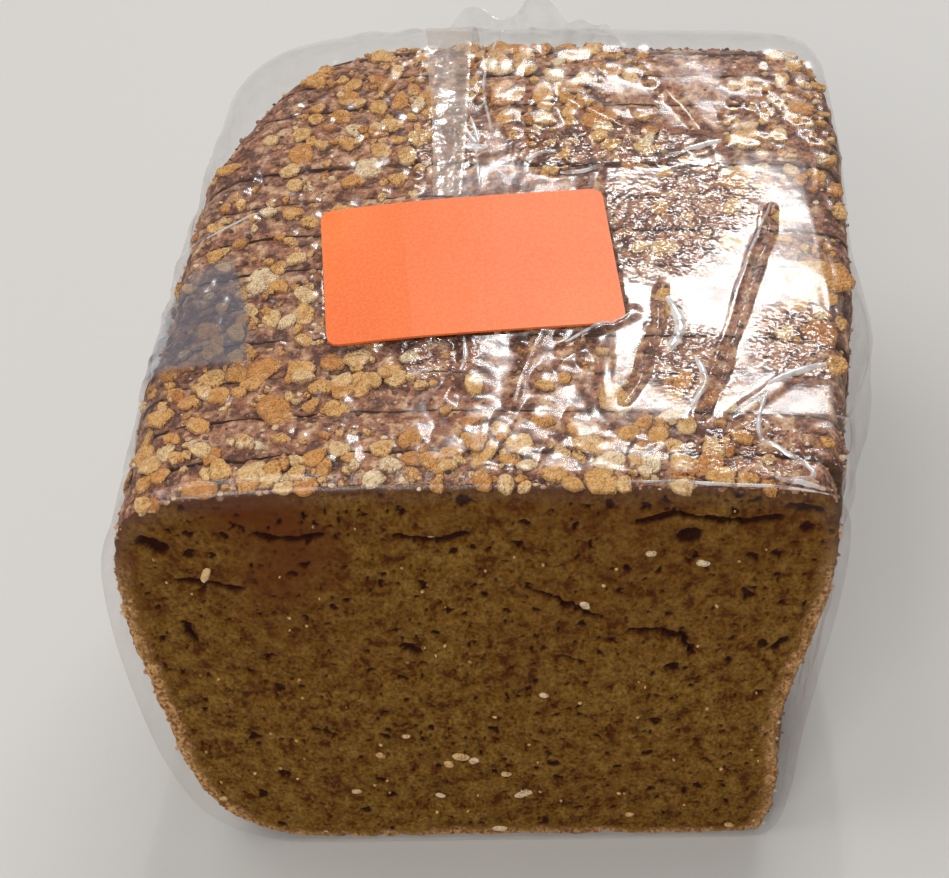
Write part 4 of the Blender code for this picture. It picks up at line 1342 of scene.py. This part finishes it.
folds = {
    "lines": [  # pinched folds that catch the light: x, y pairs, half width, rise
        ([(49.3, 20.8), (47.8, 16.5), (47.3, 13.0), (47.9, 10.8), (51.0, 8.6), (53.8, 6.8), (55.6, 4.4),
          (54.5, 2.9), (49.2, 2.6)], 0.50, 0.55),
        ([(49.4, 2.4), (53.4, 2.2), (57.4, 1.4)], 0.45, 0.45),
        ([(43.3, 16.0), (46.4, 18.9), (49.4, 21.3)], 0.42, 0.45),
        ([(49.5, 22.9), (54.3, 25.6), (59.9, 28.3)], 0.75, 0.50),
        ([(53.8, 70.0), (50.5, 60.5), (47.5, 51.6), (45.2, 45.0)], 0.26, 0.40),
        ([(15.2, 33.0), (20.5, 36.4), (26.6, 39.4)], 0.55, 0.45),
        ([(14.6, 27.9), (16.9, 30.2)], 0.35, 0.35),
        ([(14.7, 78.3), (19, 78.7), (23.0, 79.9)], 0.42, 0.40),
        ([(38.4, 84.4), (41.5, 85.7), (45.6, 87.3)], 0.70, 0.45),
        ([(34.9, 82.5), (37.8, 83.5)], 0.45, 0.40),
        ([(33.4, 44.0), (35.4, 36.5), (32.6, 30.0)], 0.95, 0.40),
        ([(37.7, 29.4), (38.9, 23.4), (36.2, 17.4)], 0.60, 0.40),
        ([(3.8, 127.1), (-0.2, 106.7), (1.5, 90.6), (0.2, 87.0)], 0.30, 0.45),
        ([(-4.3, 92.4), (-1.4, 87.4)], 0.50, 0.40),
        ([(-2.6, 95.4), (-0.8, 87.4)], 0.35, 0.40),
        ([(-3.8, 86.6), (0.9, 86.2)], 0.95, 0.45),
        ([(-1.4, 85.6), (-0.4, 74.5)], 0.30, 0.35),
        ([(-11.9, 25.1), (-7.8, 26.3)], 0.60, 0.40),
        ([(-2.3, 33.4), (-2.0, 29.0), (-2.9, 25.5)], 0.45, 0.40),
        ([(8.2, 82.1), (10.9, 84.4), (14.0, 84.8)], 0.55, 0.40),
        ([(24.0, 1.4), (31.4, 1.7), (41, 1.3), (50, 1.2), (58.0, 0.7)], 0.24, 0.30),
        ([(-51.6, 64.5), (-42.1, 69.6)], 0.24, 0.30),
        ([(60.6, 16.5), (62.8, 16.4)], 0.30, 0.30),
    ],
    "steps": 7,
}


def makeFold(index, points, wide, rise):
    # one pinched fold: a narrow ridge of doubled film laid along its line, its near-white colour partly a
    # painted highlight
    steps = folds["steps"] * (len(points) - 1)
    ends = [points[0]] + points + [points[-1]]

    def onLine(t):
        k = min(int(t), len(points) - 2)
        p = ends[k:k + 4]
        return Vector([catmull(p[0][a], p[1][a], p[2][a], p[3][a], t - k) for a in range(2)])

    def place(i, j):
        t = j / steps * (len(points) - 1)
        here = onLine(min(t, len(points) - 1.0001))
        before = onLine(max(t - 0.05, 0.0))
        after = onLine(min(t + 0.05, len(points) - 1.0001))
        ahead = (after - before).normalized()
        taper = math.sin(math.pi * (0.06 + 0.88 * j / steps)) ** 0.5
        uneven = 1 + 0.35 * noise.noise(Vector((here.x * 0.8, here.y * 0.8, index * 3.0)))
        u = i / 4 - 0.5
        spot = here + Vector((ahead.y, -ahead.x)) * (u * 2 * wide * taper * uneven)
        ridge = 0.06 + rise * taper * (1 - (2 * u) ** 2)
        z = filmTree.ray_cast(Vector((spot.x, spot.y, 200)), Vector((0, 0, -1)))[0]
        return toFrame(spot.x, spot.y, (z.z if z else 108.0) + ridge)

    return shapedGrid(f"fold{index}", 4, steps, place)


def makeFolds():
    piece = joinAll("filmFolds", [makeFold(k, *line) for k, line in enumerate(folds["lines"])])
    return finishThinFilm(piece, foldedFilmAndGlint, 0.00008, -1, 0.5, 0.4)


filmFolds = makeFolds()

tail = {
    "edge": [(-30, 78), (-23, 84), (-14, 87), (-5, 97), (3, 95),
             (10, 100), (17, 94), (24, 91), (32, 83), (38, 75)],
    "neck": (4.0, 137.5, 52.0), "neckWide": 11.0, "back": 150.0, "pleat": 1.3, "ruffle": 0.9,
    "rows": 34, "perPleat": 12,
}


def makeTail():
    # the gathered end behind the heel, a pleated fan
    edge = tail["edge"]
    across = (len(edge) - 1) * tail["perPleat"]
    rows = tail["rows"]

    def place(i, j):
        s = i / tail["perPleat"]
        k = min(int(s), len(edge) - 2)
        f = s - k
        x = edge[k][0] + (edge[k + 1][0] - edge[k][0]) * f
        z = edge[k][1] + (edge[k + 1][1] - edge[k][1]) * ease(f)
        t = j / rows
        neckX = tail["neck"][0] + (i / across - 0.5) * tail["neckWide"]
        back = tail["neck"][1] + (tail["back"] - tail["neck"][1]) * math.sin(t * math.pi / 2)
        wave = -math.cos(s * math.pi) * tail["pleat"] * t
        wave += 0.5 * t * noise.noise(Vector((s * 1.3, t * 4, 1.0)))
        shift = 2 * noise.noise(Vector((s * 0.7, t * 2, 4.0)))
        wave += tail["ruffle"] * (t - t * t * 0.4) * math.sin(s * 8.2 + shift)
        return toFrame(neckX + (x - neckX) * t, back + wave, tail["neck"][2] + (z - tail["neck"][2]) * t)

    piece = shapedGrid("filmTail", across, rows, place)
    return finishThinFilm(piece, gatheredFilm, 0.00025, 0, 0.6, 0.3)


filmTail = makeTail()
print("seam, folds and gathered end made")

# the sticker keeps its solid and gets its paper
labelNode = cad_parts["label"]
for place in labelNode.material_slots:
    place.material = sticker

for piece in (frontSlice, backSlices, oatFlakes, looseBits, crumbGrains,
              clearBag, filmSeam, filmFolds, filmTail):
    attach(piece, "root")
for piece in (clearBag, backSlices):
    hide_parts("bag")


deselect()
bpy.ops.mesh.primitive_plane_add(size=6, location=(0, 0, 0))
floor = bpy.context.object
floor.name = "floor"
floorMaterial, _tree, floorShader = newMaterial("paleFloor")
floorShader.inputs["Base Color"].default_value = (0.56, 0.55, 0.53, 1.0)
floorShader.inputs["Roughness"].default_value = 0.75
floor.data.materials.append(floorMaterial)

world = bpy.data.worlds.new("softRoom")
world.use_nodes = True
world.node_tree.nodes["Background"].inputs["Color"].default_value = (0.93, 0.95, 1.0, 1.0)
world.node_tree.nodes["Background"].inputs["Strength"].default_value = 0.30
bpy.context.scene.world = world


def softLight(name, spot, target, size, power, colour=(1, 1, 1), tall=None):
    deselect()
    bpy.ops.object.light_add(type="AREA", location=spot)
    light = bpy.context.object
    light.name = name
    light.data.shape = "RECTANGLE"
    light.data.size = size
    light.data.size_y = tall or size
    light.data.energy = power
    light.data.color = colour
    aim = Vector(target) - Vector(spot)
    light.rotation_euler = aim.to_track_quat("-Z", "Y").to_euler()
    return light


softLight("frontSoft", (-0.30, -0.95, 0.80), (0, 0, 0.05), 0.7, 7.0, (1.0, 0.97, 0.92))
softLight("overhead", (-0.40, 0.00, 1.05), (0, 0, 0.08), 0.55, 4.0, (1.0, 0.98, 0.94))
softLight("windowBack", (0.315, 0.95, 1.055), (0.03, 0.0, 0.10), 0.57, 9.0, (1.0, 0.98, 0.97), 0.24)
softLight("brightPane", (0.093, 0.93, 1.08), (0.03, 0.0, 0.10), 0.022, 1.8, (1.0, 1.0, 1.0), 0.085)

view = {"turn": 5.0, "rise": 47.5, "roll": -5.1676, "spot": (19.5335, -214.160, 356.556),
        "focal": 2000.0 / 949 * 36}
camera = bpy.data.objects.new("camera", bpy.data.cameras.new("camera"))
bpy.context.scene.collection.objects.link(camera)
camera.data.lens = view["focal"]
camera.data.sensor_width = 36
camera.data.clip_start = 0.01
camera.location = toFrame(*view["spot"])
tilt = Matrix.Rotation(math.radians(view["turn"]), 3, "Z")
tilt = tilt @ Matrix.Rotation(math.radians(90 - view["rise"]), 3, "X")
camera.rotation_euler = (tilt @ Matrix.Rotation(math.radians(view["roll"]), 3, "Z")).to_euler()
bpy.context.scene.camera = camera
bpy.context.scene.view_settings.view_transform = "Standard"
print("lights and camera set")
